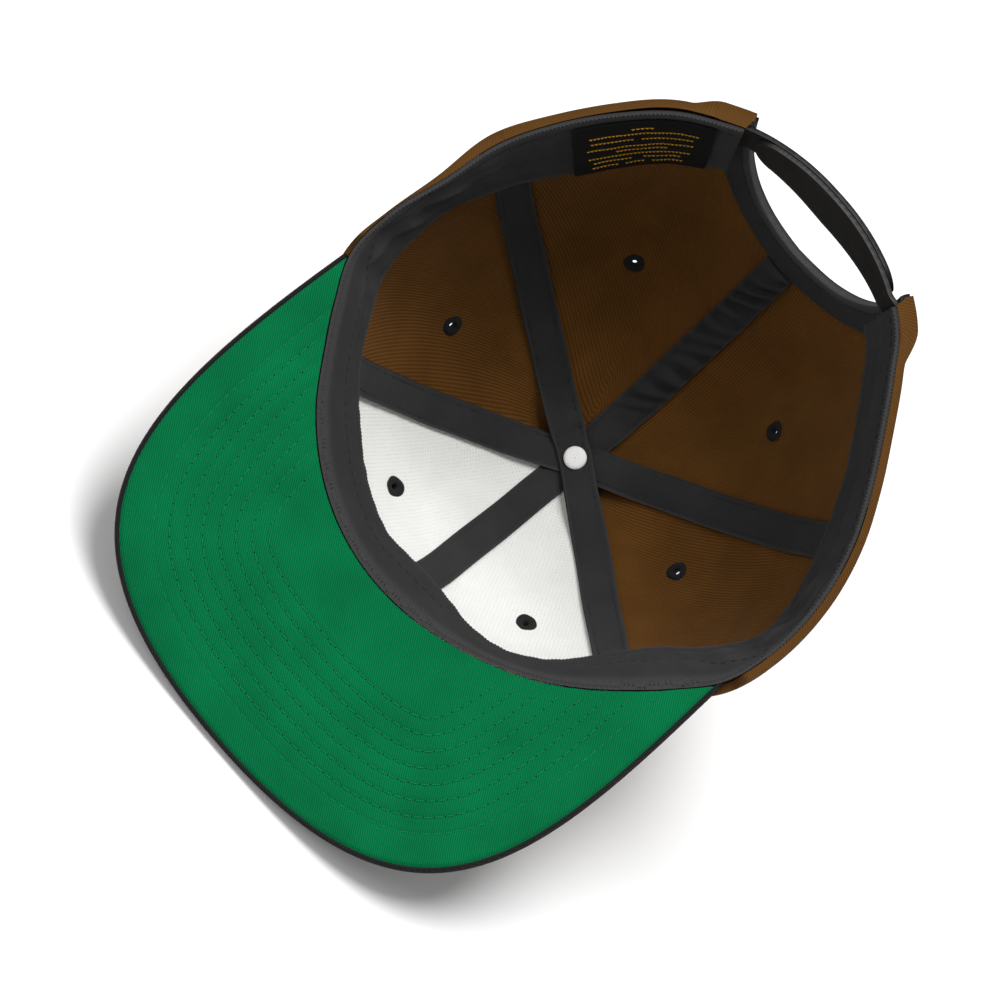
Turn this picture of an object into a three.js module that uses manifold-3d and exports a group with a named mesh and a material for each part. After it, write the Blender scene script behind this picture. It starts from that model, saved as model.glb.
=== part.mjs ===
// Snapback cap, lying upside down on the front of its crown and the front edge of its visor.
// Lengths are in millimetres and angles in degrees. Every piece is drawn as the cap is worn, with
// +Z up, the visor towards -Y and the wearer's left towards +X, and the whole cap is turned over
// at the end. Azimuth is measured round the rim from the front, positive to the wearer's left.

import * as THREE from 'three';
import Module from 'manifold-3d';
import { mergeVertices } from 'three/addons/utils/BufferGeometryUtils.js';

const wasm = await Module();
wasm.setup();

// Clearance between pieces that touch
const gap = 0.3;

// Crown
const rimHalfLength = 93;
const rimHalfWidth = 91;
const crownHeight = 118;
const apexForward = 13;
const clothThickness = 1.6;
const hemThickness = 2.6;
const hemHeight = 10;
const goreBulge = 1.6;
const dentDepth = 3;
const frontSeamAzimuth = 52;
const rearSeamAzimuth = 109;
const restFlattening = 2.6;

// Layers inside the crown
const buckramThickness = 1;
const tapeWidth = 12;
const tapeThickness = 0.9;
const tapeRampStart = 13;
const tapeRampLength = 18;

// Sweatband and its label
const bandHeight = 30;
const bandInset = 9.6;
const bandThickness = 1.2;
const bandEndAzimuth = 157;
const labelWidth = 44;
const labelHeight = 25;
const labelThickness = 0.5;
const labelAzimuth = 137.5;

// Back opening and its binding
const archHalfAzimuth = 22;
const archHeight = 52;
const archSquareness = 3.2;
const bindingWidth = 10;
const bindingThickness = 0.8;

// Snap straps
const strapHeight = 20.5;
const strapThickness = 1.4;
const strapBottom = 1;
const strapRootAzimuth = 150.5;
const strapTipGap = 4;
const strapTipLength = 8;
const studCount = 6;
const studSpacing = 9.6;
const studRadius = 2.3;
const studRise = 1;

// Visor
const visorLength = 69.7;
const visorCornerAzimuth = 71;
const visorCornerWidth = 1.6;
const visorDroop = 5.5;
const visorArch = 8;
const visorClothThickness = 1;
const visorBoardThickness = 2.2;
const visorEdgeWidth = 1.3;

// Eyelets, button and rivet
const eyeletRadius = 3.4;
const eyeletHoleRadius = 0.8;
const eyeletNeckRadius = 1.5;
const eyeletFlange = 0.8;
const buttonRadius = 7.5;
const buttonHeight = 4.6;
const postRadius = 1.2;
const rivetRadius = 4;
const rivetThickness = 1.4;

// Fineness of the meshes
const panelColumns = 7;
const archColumns = 6;
const panelRows = 13;
const roundSides = 12;

// The facets of the wall lie up to this far inside of its true surface
const facetSag = 0.3;

// Rim outline: its distance from the middle, as a share of the ellipse of the two half sizes
const rimShape = [
  { azimuth: 0, left: 1.0, right: 1.0 },
  { azimuth: 20, left: 1.004, right: 0.996 },
  { azimuth: 40, left: 0.998, right: 0.984 },
  { azimuth: 52, left: 0.991, right: 0.988 },
  { azimuth: 62, left: 1.006, right: 1.01 },
  { azimuth: 72, left: 1.031, right: 1.043 },
  { azimuth: 82, left: 1.005, right: 1.034 },
  { azimuth: 95, left: 0.962, right: 1.008 },
  { azimuth: 108, left: 0.975, right: 0.978 },
  { azimuth: 120, left: 0.981, right: 0.951 },
  { azimuth: 132, left: 0.998, right: 0.947 },
  { azimuth: 144, left: 1.026, right: 0.977 },
  { azimuth: 152, left: 1.034, right: 1.016 },
  { azimuth: 160, left: 1.046, right: 1.034 },
  { azimuth: 170, left: 1.048, right: 1.043 },
  { azimuth: 180, left: 1.045, right: 1.045 },
];

// Wall profile from the rim to the apex: the two handles of its curve, as shares of the plan
// distance between rim and apex (out) and of the crown height (up)
const profileShape = [
  { azimuth: 0, skirtOut: 1.03, skirtUp: 0.42, shoulderOut: 0.7, shoulderUp: 0.98 },
  { azimuth: 52, skirtOut: 1.04, skirtUp: 0.4, shoulderOut: 0.69, shoulderUp: 0.985 },
  { azimuth: 90, skirtOut: 1.05, skirtUp: 0.37, shoulderOut: 0.67, shoulderUp: 0.98 },
  { azimuth: 125, skirtOut: 1.02, skirtUp: 0.36, shoulderOut: 0.68, shoulderUp: 0.98 },
  { azimuth: 150, skirtOut: 1.02, skirtUp: 0.36, shoulderOut: 0.68, shoulderUp: 0.985 },
  { azimuth: 180, skirtOut: 0.94, skirtUp: 0.34, shoulderOut: 0.64, shoulderUp: 0.97 },
];

// Visor outline between a corner and its front edge: the two handles of the curve, as shares of
// the visor length: sideways and forward from the corner, and sideways from the middle line
const visorShape = [
  { side: 1, cornerFlare: 0.09, cornerReach: 1.21, frontReach: 1.31 },
  { side: -1, cornerFlare: 0.05, cornerReach: 1.11, frontReach: 1.38 },
];

// Soft dents of the crown cloth: place, depth as a share of the dent depth, and spread
const dents = [
  { azimuth: -80, up: 0.36, depth: 0.8, spreadAround: 13, spreadUp: 0.13 },
  { azimuth: -128, up: 0.4, depth: 0.5, spreadAround: 12, spreadUp: 0.15 },
  { azimuth: 82, up: 0.38, depth: 0.45, spreadAround: 12, spreadUp: 0.14 },
  { azimuth: 142, up: 0.1, depth: -0.5, spreadAround: 10, spreadUp: 0.12 },
];

// Eyelets: azimuth of the line that they sit on and their share of its plan length
const eyeletPlaces = [
  { name: 'front_left', azimuth: 26, out: 0.754, stiffened: true },
  { name: 'front_right', azimuth: -29, out: 0.743, stiffened: true },
  { name: 'side_left', azimuth: 79, out: 0.645, stiffened: false },
  { name: 'side_right', azimuth: -82, out: 0.551, stiffened: false },
  { name: 'back_left', azimuth: 143.7, out: 0.628, stiffened: false },
  { name: 'back_right', azimuth: -139.6, out: 0.667, stiffened: false },
];

// Colours, roughness
const brownCloth = new THREE.MeshStandardMaterial({ color: 0x4a2f14, roughness: 0.95, metalness: 0 });
const blackCloth = new THREE.MeshStandardMaterial({ color: 0x2c2c2d, roughness: 0.95, metalness: 0 });
const labelCloth = new THREE.MeshStandardMaterial({ color: 0x121212, roughness: 0.85, metalness: 0 });
const greenCloth = new THREE.MeshStandardMaterial({ color: 0x007a4a, roughness: 0.95, metalness: 0 });
const whiteMesh = new THREE.MeshStandardMaterial({ color: 0xe2e2de, roughness: 0.9, metalness: 0 });
const blackPlastic = new THREE.MeshStandardMaterial({ color: 0x1e1e1e, roughness: 0.5, metalness: 0 });
const whiteMetal = new THREE.MeshStandardMaterial({ color: 0xe6e6e4, roughness: 0.4, metalness: 0.2 });

// Small helpers
const radians = THREE.MathUtils.degToRad;
const ease = THREE.MathUtils.smoothstep;
const mix = THREE.MathUtils.lerp;
const apex = new THREE.Vector2(0, -apexForward);

function around(azimuth) {
  return THREE.MathUtils.euclideanModulo(azimuth + 180, 360) - 180;
}

// Smooth value of one column of a table of rows ordered by azimuth, flat at both ends
function lookUp(rows, column, azimuth) {
  const last = rows.length - 1;
  let i = 0;
  while (i < last - 1 && azimuth > rows[i + 1].azimuth) {
    i += 1;
  }
  const slope = (k) => {
    if (k === 0 || k === last) {
      return 0;
    }
    const rise = rows[k + 1][column] - rows[k - 1][column];
    return rise / (rows[k + 1].azimuth - rows[k - 1].azimuth);
  };
  const width = rows[i + 1].azimuth - rows[i].azimuth;
  const s = (azimuth - rows[i].azimuth) / width;
  const bump = s * s * (3 - 2 * s);
  const from = rows[i][column] * (1 - bump) + rows[i + 1][column] * bump;
  const leave = slope(i) * width * s * (1 - s) * (1 - s);
  const arrive = slope(i + 1) * width * s * s * (1 - s);
  return from + leave - arrive;
}

// Value between low and high where a rising function reaches a goal
function solve(rising, goal, low, high) {
  let a = low;
  let b = high;
  for (let k = 0; k < 40; k += 1) {
    const middle = (a + b) / 2;
    if (rising(middle) < goal) {
      a = middle;
    } else {
      b = middle;
    }
  }
  return (a + b) / 2;
}

// Rim outline in plan, moved outward by a distance
function rimPoint(azimuth, outward = 0) {
  const a = around(azimuth);
  const share = lookUp(rimShape, a >= 0 ? 'left' : 'right', Math.abs(a));
  const x = rimHalfWidth * share * Math.sin(radians(a));
  const y = -rimHalfLength * share * Math.cos(radians(a));
  const point = new THREE.Vector2(x, y);
  return point.setLength(point.length() + outward);
}

// The cloth stands out at the two tabs by the room that binding and strap need under it
const tabRoom = bindingThickness + strapThickness + 3 * gap;
const tabAzimuth = 180 - archHalfAzimuth;

function wallRimPoint(azimuth) {
  const nearTab = ease(Math.abs(around(azimuth)), tabAzimuth - 12, tabAzimuth - 6);
  return rimPoint(azimuth, gap + tabRoom * nearTab);
}

// Profile of the wall at one azimuth: share of the plan distance and height
function profile(azimuth, t) {
  const a = Math.abs(around(azimuth));
  const value = (column) => lookUp(profileShape, column, a);
  const s = 1 - t;
  const near = 3 * s * s * t;
  const far = 3 * s * t * t;
  const out = s * s * s + near * value('skirtOut') + far * value('shoulderOut');
  const up = near * value('skirtUp') + far * value('shoulderUp') + t * t * t;
  return { out, height: crownHeight * up };
}

function smoothWall(azimuth, t) {
  const { out, height } = profile(azimuth, t);
  const plan = wallRimPoint(azimuth).sub(apex).multiplyScalar(out).add(apex);
  return new THREE.Vector3(plan.x, plan.y, height);
}

function wallNormal(azimuth, t) {
  const step = 0.002;
  const late = Math.min(t, 1 - 2 * step);
  const across = smoothWall(azimuth + 0.5, late).sub(smoothWall(azimuth - 0.5, late));
  const upward = smoothWall(azimuth, late + step).sub(smoothWall(azimuth, late - step));
  return across.cross(upward).normalize();
}

// Seams between the panels, from the front round to the wearer's left
const seams = [
  -180, -rearSeamAzimuth, -frontSeamAzimuth, 0, frontSeamAzimuth, rearSeamAzimuth, 180,
];

function bulge(azimuth, t) {
  const a = around(azimuth);
  let k = 0;
  while (k < seams.length - 2 && a > seams[k + 1]) {
    k += 1;
  }
  const across = (a - seams[k]) / (seams[k + 1] - seams[k]);
  let rise = goreBulge * Math.sin(Math.PI * across) * Math.sin(Math.PI * t);
  for (const dent of dents) {
    const sideways = around(a - dent.azimuth) / dent.spreadAround;
    const upward = (t - dent.up) / dent.spreadUp;
    rise -= dentDepth * dent.depth * Math.exp(-sideways * sideways - upward * upward);
  }
  return rise;
}

function fullWall(azimuth, t, outward) {
  const away = wallNormal(azimuth, t).multiplyScalar(bulge(azimuth, t) + outward);
  return smoothWall(azimuth, t).add(away);
}

// Visor underside: height over a place in plan
const visorCorner = rimPoint(visorCornerAzimuth, visorCornerWidth);
const visorTipY = -rimHalfLength - visorLength;
const visorStack = visorClothThickness + gap + visorBoardThickness;

function visorHeight(x, y) {
  const sideways = x / visorCorner.x;
  const drop = Math.tan(radians(visorDroop)) * (visorCorner.y - y);
  return visorArch * (1 - sideways * sideways) - drop;
}

// Resting: the plane through the tip of the visor that presses the crown in by the flattening
const restPoint = new THREE.Vector3(0, visorTipY, visorHeight(0, visorTipY) + visorStack);

function findRestAngle() {
  let angle = 0;
  for (let azimuth = -frontSeamAzimuth; azimuth <= frontSeamAzimuth; azimuth += 2) {
    for (let t = 0.3; t < 0.98; t += 0.01) {
      const reach = fullWall(azimuth, t, clothThickness).sub(restPoint);
      const length = Math.hypot(reach.y, reach.z);
      const lift = Math.atan2(reach.z, reach.y) - Math.asin(restFlattening / length);
      angle = Math.max(angle, lift);
    }
  }
  return angle;
}

const restAngle = findRestAngle();
const restNormal = new THREE.Vector3(0, -Math.sin(restAngle), Math.cos(restAngle));

// Point of the wall at a distance outside (or inside, below zero) of the cloth's inner face,
// pressed flat where the crown rests
function wall(azimuth, t, outward = 0) {
  const face = fullWall(azimuth, t, clothThickness);
  const below = Math.max(0, face.sub(restPoint).dot(restNormal));
  return fullWall(azimuth, t, outward).addScaledVector(restNormal, -below);
}

// Where along the profile the wall reaches a height or a share of the plan distance
function atHeight(azimuth, height) {
  return solve((t) => profile(azimuth, t).height, height, 0, 1);
}

function atShare(azimuth, share) {
  return solve((t) => -profile(azimuth, t).out, -share, 0.3, 1);
}

function atPlanDistance(azimuth, distance) {
  return atShare(azimuth, distance / wallRimPoint(azimuth).distanceTo(apex));
}

// Lower edge of the cloth: over the visor in front, at the rim at the sides, and along the arch
function archEdge(across) {
  return archHeight * Math.pow(1 - Math.pow(Math.abs(across), archSquareness), 1 / archSquareness);
}

// Degrees past the visor corner where the hem starts to come down, and over which it does
const besideCorner = 1.5;
const hemStep = 3.5;

function hemLevel(azimuth) {
  const a = Math.abs(around(azimuth));
  const across = (180 - a) / archHalfAzimuth;
  if (across < 1) {
    return archEdge(across);
  }
  const plan = rimPoint(azimuth);
  const overVisor = ease(visorCornerAzimuth + besideCorner + hemStep - a, 0, hemStep);
  return overVisor * (visorHeight(plan.x, plan.y) + visorStack + gap);
}

const postHoleRadius = postRadius + gap + 0.4;

function columnOfRows(azimuth) {
  const start = atHeight(azimuth, hemLevel(azimuth));
  const end = atPlanDistance(azimuth, postHoleRadius);
  const rows = [];
  for (let j = 0; j <= panelRows; j += 1) {
    rows.push(mix(start, end, j / panelRows));
  }
  return rows;
}

// Closed solid between two grids of points; face 0 is one side and face 1 the other
function shell(columns, rows, place) {
  const positions = [];
  const corner = (i, j, face) => (face * (columns + 1) + i) * (rows + 1) + j;
  for (const face of [0, 1]) {
    for (let i = 0; i <= columns; i += 1) {
      for (let j = 0; j <= rows; j += 1) {
        positions.push(...place(i, j, face).toArray());
      }
    }
  }
  const triangles = [];
  const quad = (a, b, c, d) => triangles.push(a, b, c, a, c, d);
  for (let i = 0; i < columns; i += 1) {
    for (let j = 0; j < rows; j += 1) {
      quad(corner(i, j, 1), corner(i + 1, j, 1), corner(i + 1, j + 1, 1), corner(i, j + 1, 1));
      quad(corner(i, j, 0), corner(i, j + 1, 0), corner(i + 1, j + 1, 0), corner(i + 1, j, 0));
    }
  }
  for (let i = 0; i < columns; i += 1) {
    quad(corner(i, 0, 0), corner(i + 1, 0, 0), corner(i + 1, 0, 1), corner(i, 0, 1));
    quad(corner(i, rows, 1), corner(i + 1, rows, 1), corner(i + 1, rows, 0), corner(i, rows, 0));
  }
  for (let j = 0; j < rows; j += 1) {
    quad(corner(0, j, 1), corner(0, j + 1, 1), corner(0, j + 1, 0), corner(0, j, 0));
    quad(corner(columns, j, 0), corner(columns, j + 1, 0), corner(columns, j + 1, 1), corner(columns, j, 1));
  }
  const geometry = new THREE.BufferGeometry();
  geometry.setAttribute('position', new THREE.Float32BufferAttribute(positions, 3));
  geometry.setIndex(triangles);
  return facingOut(geometry);
}

// The same geometry with its faces turned outward
function facingOut(geometry) {
  const at = geometry.getAttribute('position');
  const index = geometry.getIndex().array;
  const corners = [new THREE.Vector3(), new THREE.Vector3(), new THREE.Vector3()];
  let volume = 0;
  for (let k = 0; k < index.length; k += 3) {
    corners.forEach((corner, m) => corner.fromBufferAttribute(at, index[k + m]));
    volume += corners[0].dot(corners[1].clone().cross(corners[2]));
  }
  if (volume < 0) {
    const turned = [];
    for (let k = 0; k < index.length; k += 3) {
      turned.push(index[k], index[k + 2], index[k + 1]);
    }
    geometry.setIndex(turned);
  }
  return geometry;
}

// Joining and cutting
function toSolid(geometry) {
  const bare = geometry.clone();
  bare.deleteAttribute('normal');
  bare.deleteAttribute('uv');
  const merged = mergeVertices(bare, 0.0001);
  return new wasm.Manifold(new wasm.Mesh({
    numProp: 3,
    vertProperties: new Float32Array(merged.getAttribute('position').array),
    triVerts: new Uint32Array(merged.getIndex().array),
  }));
}

function fromSolid(solid) {
  const mesh = solid.getMesh();
  const geometry = new THREE.BufferGeometry();
  geometry.setAttribute('position', new THREE.BufferAttribute(mesh.vertProperties, 3));
  geometry.setIndex(new THREE.BufferAttribute(mesh.triVerts, 1));
  return geometry;
}

function cutBy(geometry, tools) {
  return fromSolid(tools.reduce((rest, tool) => rest.subtract(toSolid(tool)), toSolid(geometry)));
}

function joinedWith(geometry, extras) {
  return fromSolid(extras.reduce((all, extra) => all.add(toSolid(extra)), toSolid(geometry)));
}

// Moves a geometry drawn round the Z axis to a place with Z along a direction
function placedAlong(geometry, place, direction) {
  const turn = new THREE.Quaternion().setFromUnitVectors(new THREE.Vector3(0, 0, 1), direction);
  const scale = new THREE.Vector3(1, 1, 1);
  return geometry.applyMatrix4(new THREE.Matrix4().compose(place, turn, scale));
}

function cylinder(radius, from, to) {
  const bar = new THREE.CylinderGeometry(radius, radius, to - from, roundSides);
  return bar.rotateX(Math.PI / 2).translate(0, 0, (from + to) / 2);
}

function turnedShape(outline) {
  const points = outline.map(([radius, height]) => new THREE.Vector2(radius, height));
  const body = new THREE.LatheGeometry(points, roundSides).rotateX(Math.PI / 2);
  body.deleteAttribute('normal');
  body.deleteAttribute('uv');
  return facingOut(mergeVertices(body, 0.0001));
}

// Eyelets and their holes

function eyeletFrame({ azimuth, out }) {
  const t = atShare(azimuth, out);
  const across = wall(azimuth + 1, t).sub(wall(azimuth - 1, t));
  const upward = wall(azimuth, t + 0.01).sub(wall(azimuth, t - 0.01));
  return { centre: wall(azimuth, t), axis: across.cross(upward).normalize() };
}

function eyeletHole(place) {
  const { centre, axis } = eyeletFrame(place);
  return placedAlong(cylinder(eyeletNeckRadius + gap, -8, 8), centre, axis);
}

function eyelet(place) {
  const layers = place.stiffened ? gap + buckramThickness : 0;
  const inTop = -layers - gap - facetSag;
  const inBottom = inTop - eyeletFlange;
  const outBottom = clothThickness + gap;
  const outTop = outBottom + eyeletFlange;
  const chamfer = eyeletFlange / 2;
  const ring = turnedShape([
    [eyeletHoleRadius, inBottom],
    [eyeletRadius - chamfer, inBottom],
    [eyeletRadius, inTop],
    [eyeletNeckRadius, inTop],
    [eyeletNeckRadius, outBottom],
    [eyeletRadius, outBottom],
    [eyeletRadius - chamfer, outTop],
    [eyeletHoleRadius, outTop],
    [eyeletHoleRadius, inBottom],
  ]);
  const { centre, axis } = eyeletFrame(place);
  return placedAlong(ring, centre, axis);
}

// Share of the arch's half width at each of its columns, closer together up its steep side
function archAcross(step) {
  const angle = (Math.PI / 2) * Math.pow(step / archColumns, 1.6);
  return Math.pow(Math.cos(angle), 2 / archSquareness);
}

// Columns of a panel between two seams, closer together at the visor corner, the tabs and the arch
function evenSteps(from, to, steps) {
  return Array.from({ length: steps + 1 }, (_, i) => mix(from, to, i / steps));
}

const hemStepStart = visorCornerAzimuth + besideCorner;
const frontColumns = evenSteps(0, frontSeamAzimuth, panelColumns);
const sideColumns = [
  ...evenSteps(frontSeamAzimuth, hemStepStart, 3),
  ...evenSteps(hemStepStart + hemStep, rearSeamAzimuth, 4),
];
const archSpread = Array.from({ length: archColumns }, (_, i) => {
  return 180 - archHalfAzimuth * archAcross(i + 1);
});
const backColumns = [
  ...evenSteps(rearSeamAzimuth, tabAzimuth - 12, 5),
  ...evenSteps(tabAzimuth - 9, tabAzimuth, 3),
  ...archSpread,
];

function onSide(columns, side) {
  return columns.map((azimuth) => side * azimuth);
}

// Small shift in plan that keeps a panel's edge clear of its seam
function seamShift(azimuths, i) {
  if (i !== 0 && i !== azimuths.length - 1) {
    return new THREE.Vector3();
  }
  const inward = i === 0 ? azimuths[1] - azimuths[0] : azimuths[i - 1] - azimuths[i];
  const along = wallRimPoint(azimuths[i]).sub(apex).normalize();
  const side = new THREE.Vector3(-along.y, along.x, 0);
  return side.multiplyScalar(Math.sign(inward) * (gap / 2));
}

function eyeletsWithin(azimuths) {
  const ends = [azimuths[0], azimuths[azimuths.length - 1]];
  return eyeletPlaces.filter(({ azimuth }) => {
    return azimuth > Math.min(...ends) && azimuth < Math.max(...ends);
  });
}

// Cloth of a crown panel: thicker along its hem
function clothOut(azimuth, t) {
  const height = profile(azimuth, t).height;
  return mix(hemThickness, clothThickness, ease(height, hemHeight * 0.6, hemHeight * 1.6));
}

function crownPanel(azimuths) {
  const rows = azimuths.map(columnOfRows);
  const place = (i, j, face) => {
    const t = rows[i][j];
    const outward = face === 1 ? clothOut(azimuths[i], t) : 0;
    return wall(azimuths[i], t, outward).add(seamShift(azimuths, i));
  };
  const sheet = shell(azimuths.length - 1, panelRows, place);
  return cutBy(sheet, eyeletsWithin(azimuths).map(eyeletHole));
}

function buckram(azimuths) {
  const rows = azimuths.map(columnOfRows);
  const firstRow = 1;
  const place = (i, j, face) => {
    const outward = face === 1 ? -gap : -gap - buckramThickness;
    return wall(azimuths[i], rows[i][j + firstRow], outward).add(seamShift(azimuths, i));
  };
  const sheet = shell(azimuths.length - 1, panelRows - firstRow, place);
  return cutBy(sheet, eyeletsWithin(azimuths).map(eyeletHole));
}

// One arm of a seam tape, as stations from its outer end to the apex
function tapeArm(azimuth, level, startDistance) {
  const rows = columnOfRows(azimuth);
  const first = atHeight(azimuth, startDistance);
  const inFront = Math.abs(azimuth) <= frontSeamAzimuth;
  const onBuckram = 2 * gap + buckramThickness;
  const lying = (inFront ? onBuckram : gap) + facetSag;
  const stacked = onBuckram + level * (tapeThickness + gap);
  const along = wallRimPoint(azimuth).sub(apex);
  const reach = along.length();
  along.normalize();
  return [first, ...rows.filter((t) => t > first + 0.01)].map((t) => {
    const distance = profile(azimuth, t).out * reach;
    const down = ease(distance, tapeRampStart, tapeRampStart + tapeRampLength);
    return { azimuth, t, distance, along, offset: mix(stacked, lying, down) };
  });
}

// Rim azimuth that lies in a direction from the apex, near a first guess
function azimuthTowards(direction, guess) {
  const turnTo = (azimuth) => {
    const along = wallRimPoint(azimuth).sub(apex);
    return Math.atan2(direction.x * along.y - direction.y * along.x, direction.dot(along));
  };
  return solve(turnTo, 0, guess - 89, guess + 89);
}

// Point of a tape beside its middle line. Near the apex it is found in plan, and further down
// by following the wall sideways at the same share of the profile
function tapePoint(station, sideways, depth) {
  const { azimuth, t, distance, along } = station;
  const perp = new THREE.Vector2(-along.y, along.x);
  const direction = along.clone().multiplyScalar(distance).addScaledVector(perp, sideways);
  const nearAzimuth = azimuthTowards(direction, azimuth);
  const top = wall(nearAzimuth, atPlanDistance(nearAzimuth, direction.length()), -depth);
  const normal = wallNormal(azimuth, t);
  const side = new THREE.Vector3(perp.x, perp.y, 0);
  const beside = wall(azimuth, t);
  const turn = THREE.MathUtils.radToDeg(sideways / Math.max(distance, tapeWidth));
  const follow = wall(azimuth + turn, t).sub(beside).dot(normal) - sideways * side.dot(normal);
  beside.addScaledVector(side, sideways).addScaledVector(normal, follow - depth);
  return top.lerp(beside, ease(distance, 2 * tapeWidth, 4 * tapeWidth));
}

function seamTape(firstAzimuth, secondAzimuth, level, firstStart, secondStart) {
  const first = tapeArm(firstAzimuth, level, firstStart);
  const second = tapeArm(secondAzimuth, level, secondStart);
  const stations = [...first, ...second.reverse()];
  const turned = first.length;
  const place = (i, j, face) => {
    const station = stations[i];
    const side = i < turned ? 1 : -1;
    const sideways = side * tapeWidth * (j / 2 - 0.5);
    return tapePoint(station, sideways, station.offset + face * tapeThickness);
  };
  const sheet = shell(stations.length - 1, 2, place);
  const hole = cylinder(postRadius + gap, crownHeight - 20, crownHeight + 20);
  return cutBy(sheet, [hole.translate(apex.x, apex.y, 0)]);
}

// Sweatband: place on its outer face at a share of its height
function rimLevel(azimuth) {
  const plan = rimPoint(azimuth);
  const inFront = ease(visorCornerAzimuth - Math.abs(around(azimuth)), 0, 8);
  return inFront * visorHeight(plan.x, plan.y);
}

function bandPoint(azimuth, up, inward = 0) {
  const low = rimLevel(azimuth);
  const lean = Math.atan2(bandInset, bandHeight);
  const inset = bandInset * up + inward * Math.cos(lean);
  const plan = rimPoint(azimuth, -inset);
  return new THREE.Vector3(plan.x, plan.y, mix(low, bandHeight, up) + inward * Math.sin(lean));
}

function sweatband() {
  const half = [...frontColumns, ...sideColumns.slice(1), ...backColumns.slice(1)];
  const kept = [...half.filter((azimuth) => azimuth < bandEndAzimuth - 1), bandEndAzimuth];
  const azimuths = [...onSide(kept.slice(1), -1).reverse(), ...kept];
  return shell(azimuths.length - 1, 2, (i, j, face) => {
    return bandPoint(azimuths[i], j / 2, (1 - face) * bandThickness);
  });
}

function sweatbandLabel() {
  const half = THREE.MathUtils.radToDeg(labelWidth / 2 / rimPoint(labelAzimuth).length());
  const low = 1 - labelHeight / bandHeight;
  const under = bandThickness + gap + facetSag;
  return shell(6, 2, (i, j, face) => {
    const azimuth = labelAzimuth + half * (i / 3 - 1);
    return bandPoint(azimuth, mix(low, 1, j / 2), under + (1 - face) * labelThickness);
  });
}

// Binding: a leg inside of the cloth along the arch and a lip over its cut edge
function bindingStations() {
  const stations = [];
  for (let k = -archColumns; k <= archColumns; k += 1) {
    const across = -Math.sign(k) * archAcross(archColumns - Math.abs(k));
    const azimuth = 180 - archHalfAzimuth * across;
    stations.push({ azimuth, t: atHeight(azimuth, archEdge(across)) });
  }
  return stations;
}

// Point of the wall at a distance from the arch edge, measured square to the edge
function besideArch(stations, k, distance, outward) {
  const { azimuth, t } = stations[k];
  const before = stations[Math.max(0, k - 1)];
  const after = stations[Math.min(stations.length - 1, k + 1)];
  const step = 0.01;
  const here = wall(azimuth, t);
  const perAzimuth = wall(azimuth + 1, t).sub(here);
  const perShare = wall(azimuth, t + step).sub(here).divideScalar(step);
  const tangent = wall(after.azimuth, after.t).sub(wall(before.azimuth, before.t)).normalize();
  const normal = wallNormal(azimuth, t);
  const square = tangent.cross(normal).normalize();
  const middle = wall(180, atHeight(180, archHeight / 2));
  if (square.dot(here.clone().sub(middle)) < 0) {
    square.negate();
  }
  const aa = perAzimuth.dot(perAzimuth);
  const ab = perAzimuth.dot(perShare);
  const bb = perShare.dot(perShare);
  const a = perAzimuth.dot(square);
  const b = perShare.dot(square);
  const scale = distance / (aa * bb - ab * ab);
  const turn = (a * bb - b * ab) * scale;
  const climb = (b * aa - a * ab) * scale;
  return wall(azimuth + turn, Math.max(0, t + climb), outward);
}

// The binding's inner leg stands this far inside the wall, to clear the panels' facets
const bindingInset = gap + 1.3 * facetSag;

function backOpeningBinding() {
  const stations = bindingStations();
  const inside = -bindingInset;
  const lip = -gap;
  const path = [
    { face0: [bindingWidth, inside], face1: [bindingWidth, inside - bindingThickness] },
    { face0: [bindingWidth / 2, inside], face1: [bindingWidth / 2, inside - bindingThickness] },
    { face0: [lip, inside], face1: [lip - bindingThickness, inside - bindingThickness] },
    { face0: [lip, clothThickness], face1: [lip - bindingThickness, clothThickness] },
  ];
  return shell(stations.length - 1, path.length - 1, (k, j, face) => {
    const [distance, outward] = face === 1 ? path[j].face1 : path[j].face0;
    return besideArch(stations, k, distance, outward);
  });
}

// Straps: both follow the wall across the opening, one inside of the other
const underBinding = bindingInset + bindingThickness + gap;
const besideStrap = underBinding + strapThickness + gap;

function degreesAlongStrap(length) {
  return THREE.MathUtils.radToDeg(length / wallRimPoint(180).length());
}

function strapPoint(azimuth, up, depth) {
  const height = strapBottom + strapHeight * up;
  return wall(azimuth, atHeight(azimuth, height), -depth);
}

function strap(root, tip, depthAt) {
  const columns = 26;
  const tipDegrees = degreesAlongStrap(strapTipLength);
  return shell(columns, 2, (i, j, face) => {
    const azimuth = mix(root, tip, i / columns);
    const fromTip = Math.abs(azimuth - tip) / tipDegrees;
    const rounding = 1 - Math.min(1, fromTip);
    const half = 0.5 * Math.sqrt(1 - 0.92 * rounding * rounding);
    const up = 0.5 + half * (j - 1);
    return strapPoint(azimuth, up, depthAt(azimuth) + face * strapThickness);
  });
}

function studPlaces() {
  const places = [];
  for (let k = 0; k < studCount; k += 1) {
    const azimuth = 180 + degreesAlongStrap(studSpacing) * (k - (studCount - 1) / 2);
    const t = atHeight(azimuth, strapBottom + strapHeight / 2);
    places.push({ centre: wall(azimuth, t), axis: wallNormal(azimuth, t) });
  }
  return places;
}

const outerTip = 180 + archHalfAzimuth - degreesAlongStrap(strapTipGap);
const innerTip = tabAzimuth + degreesAlongStrap(strapTipGap);

function strapOuter() {
  const sheet = strap(strapRootAzimuth, outerTip, () => underBinding);
  const holes = studPlaces().map(({ centre, axis }) => {
    const hole = cylinder(studRadius + gap, -besideStrap, studRise);
    return placedAlong(hole, centre, axis);
  });
  return cutBy(sheet, holes);
}

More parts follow.
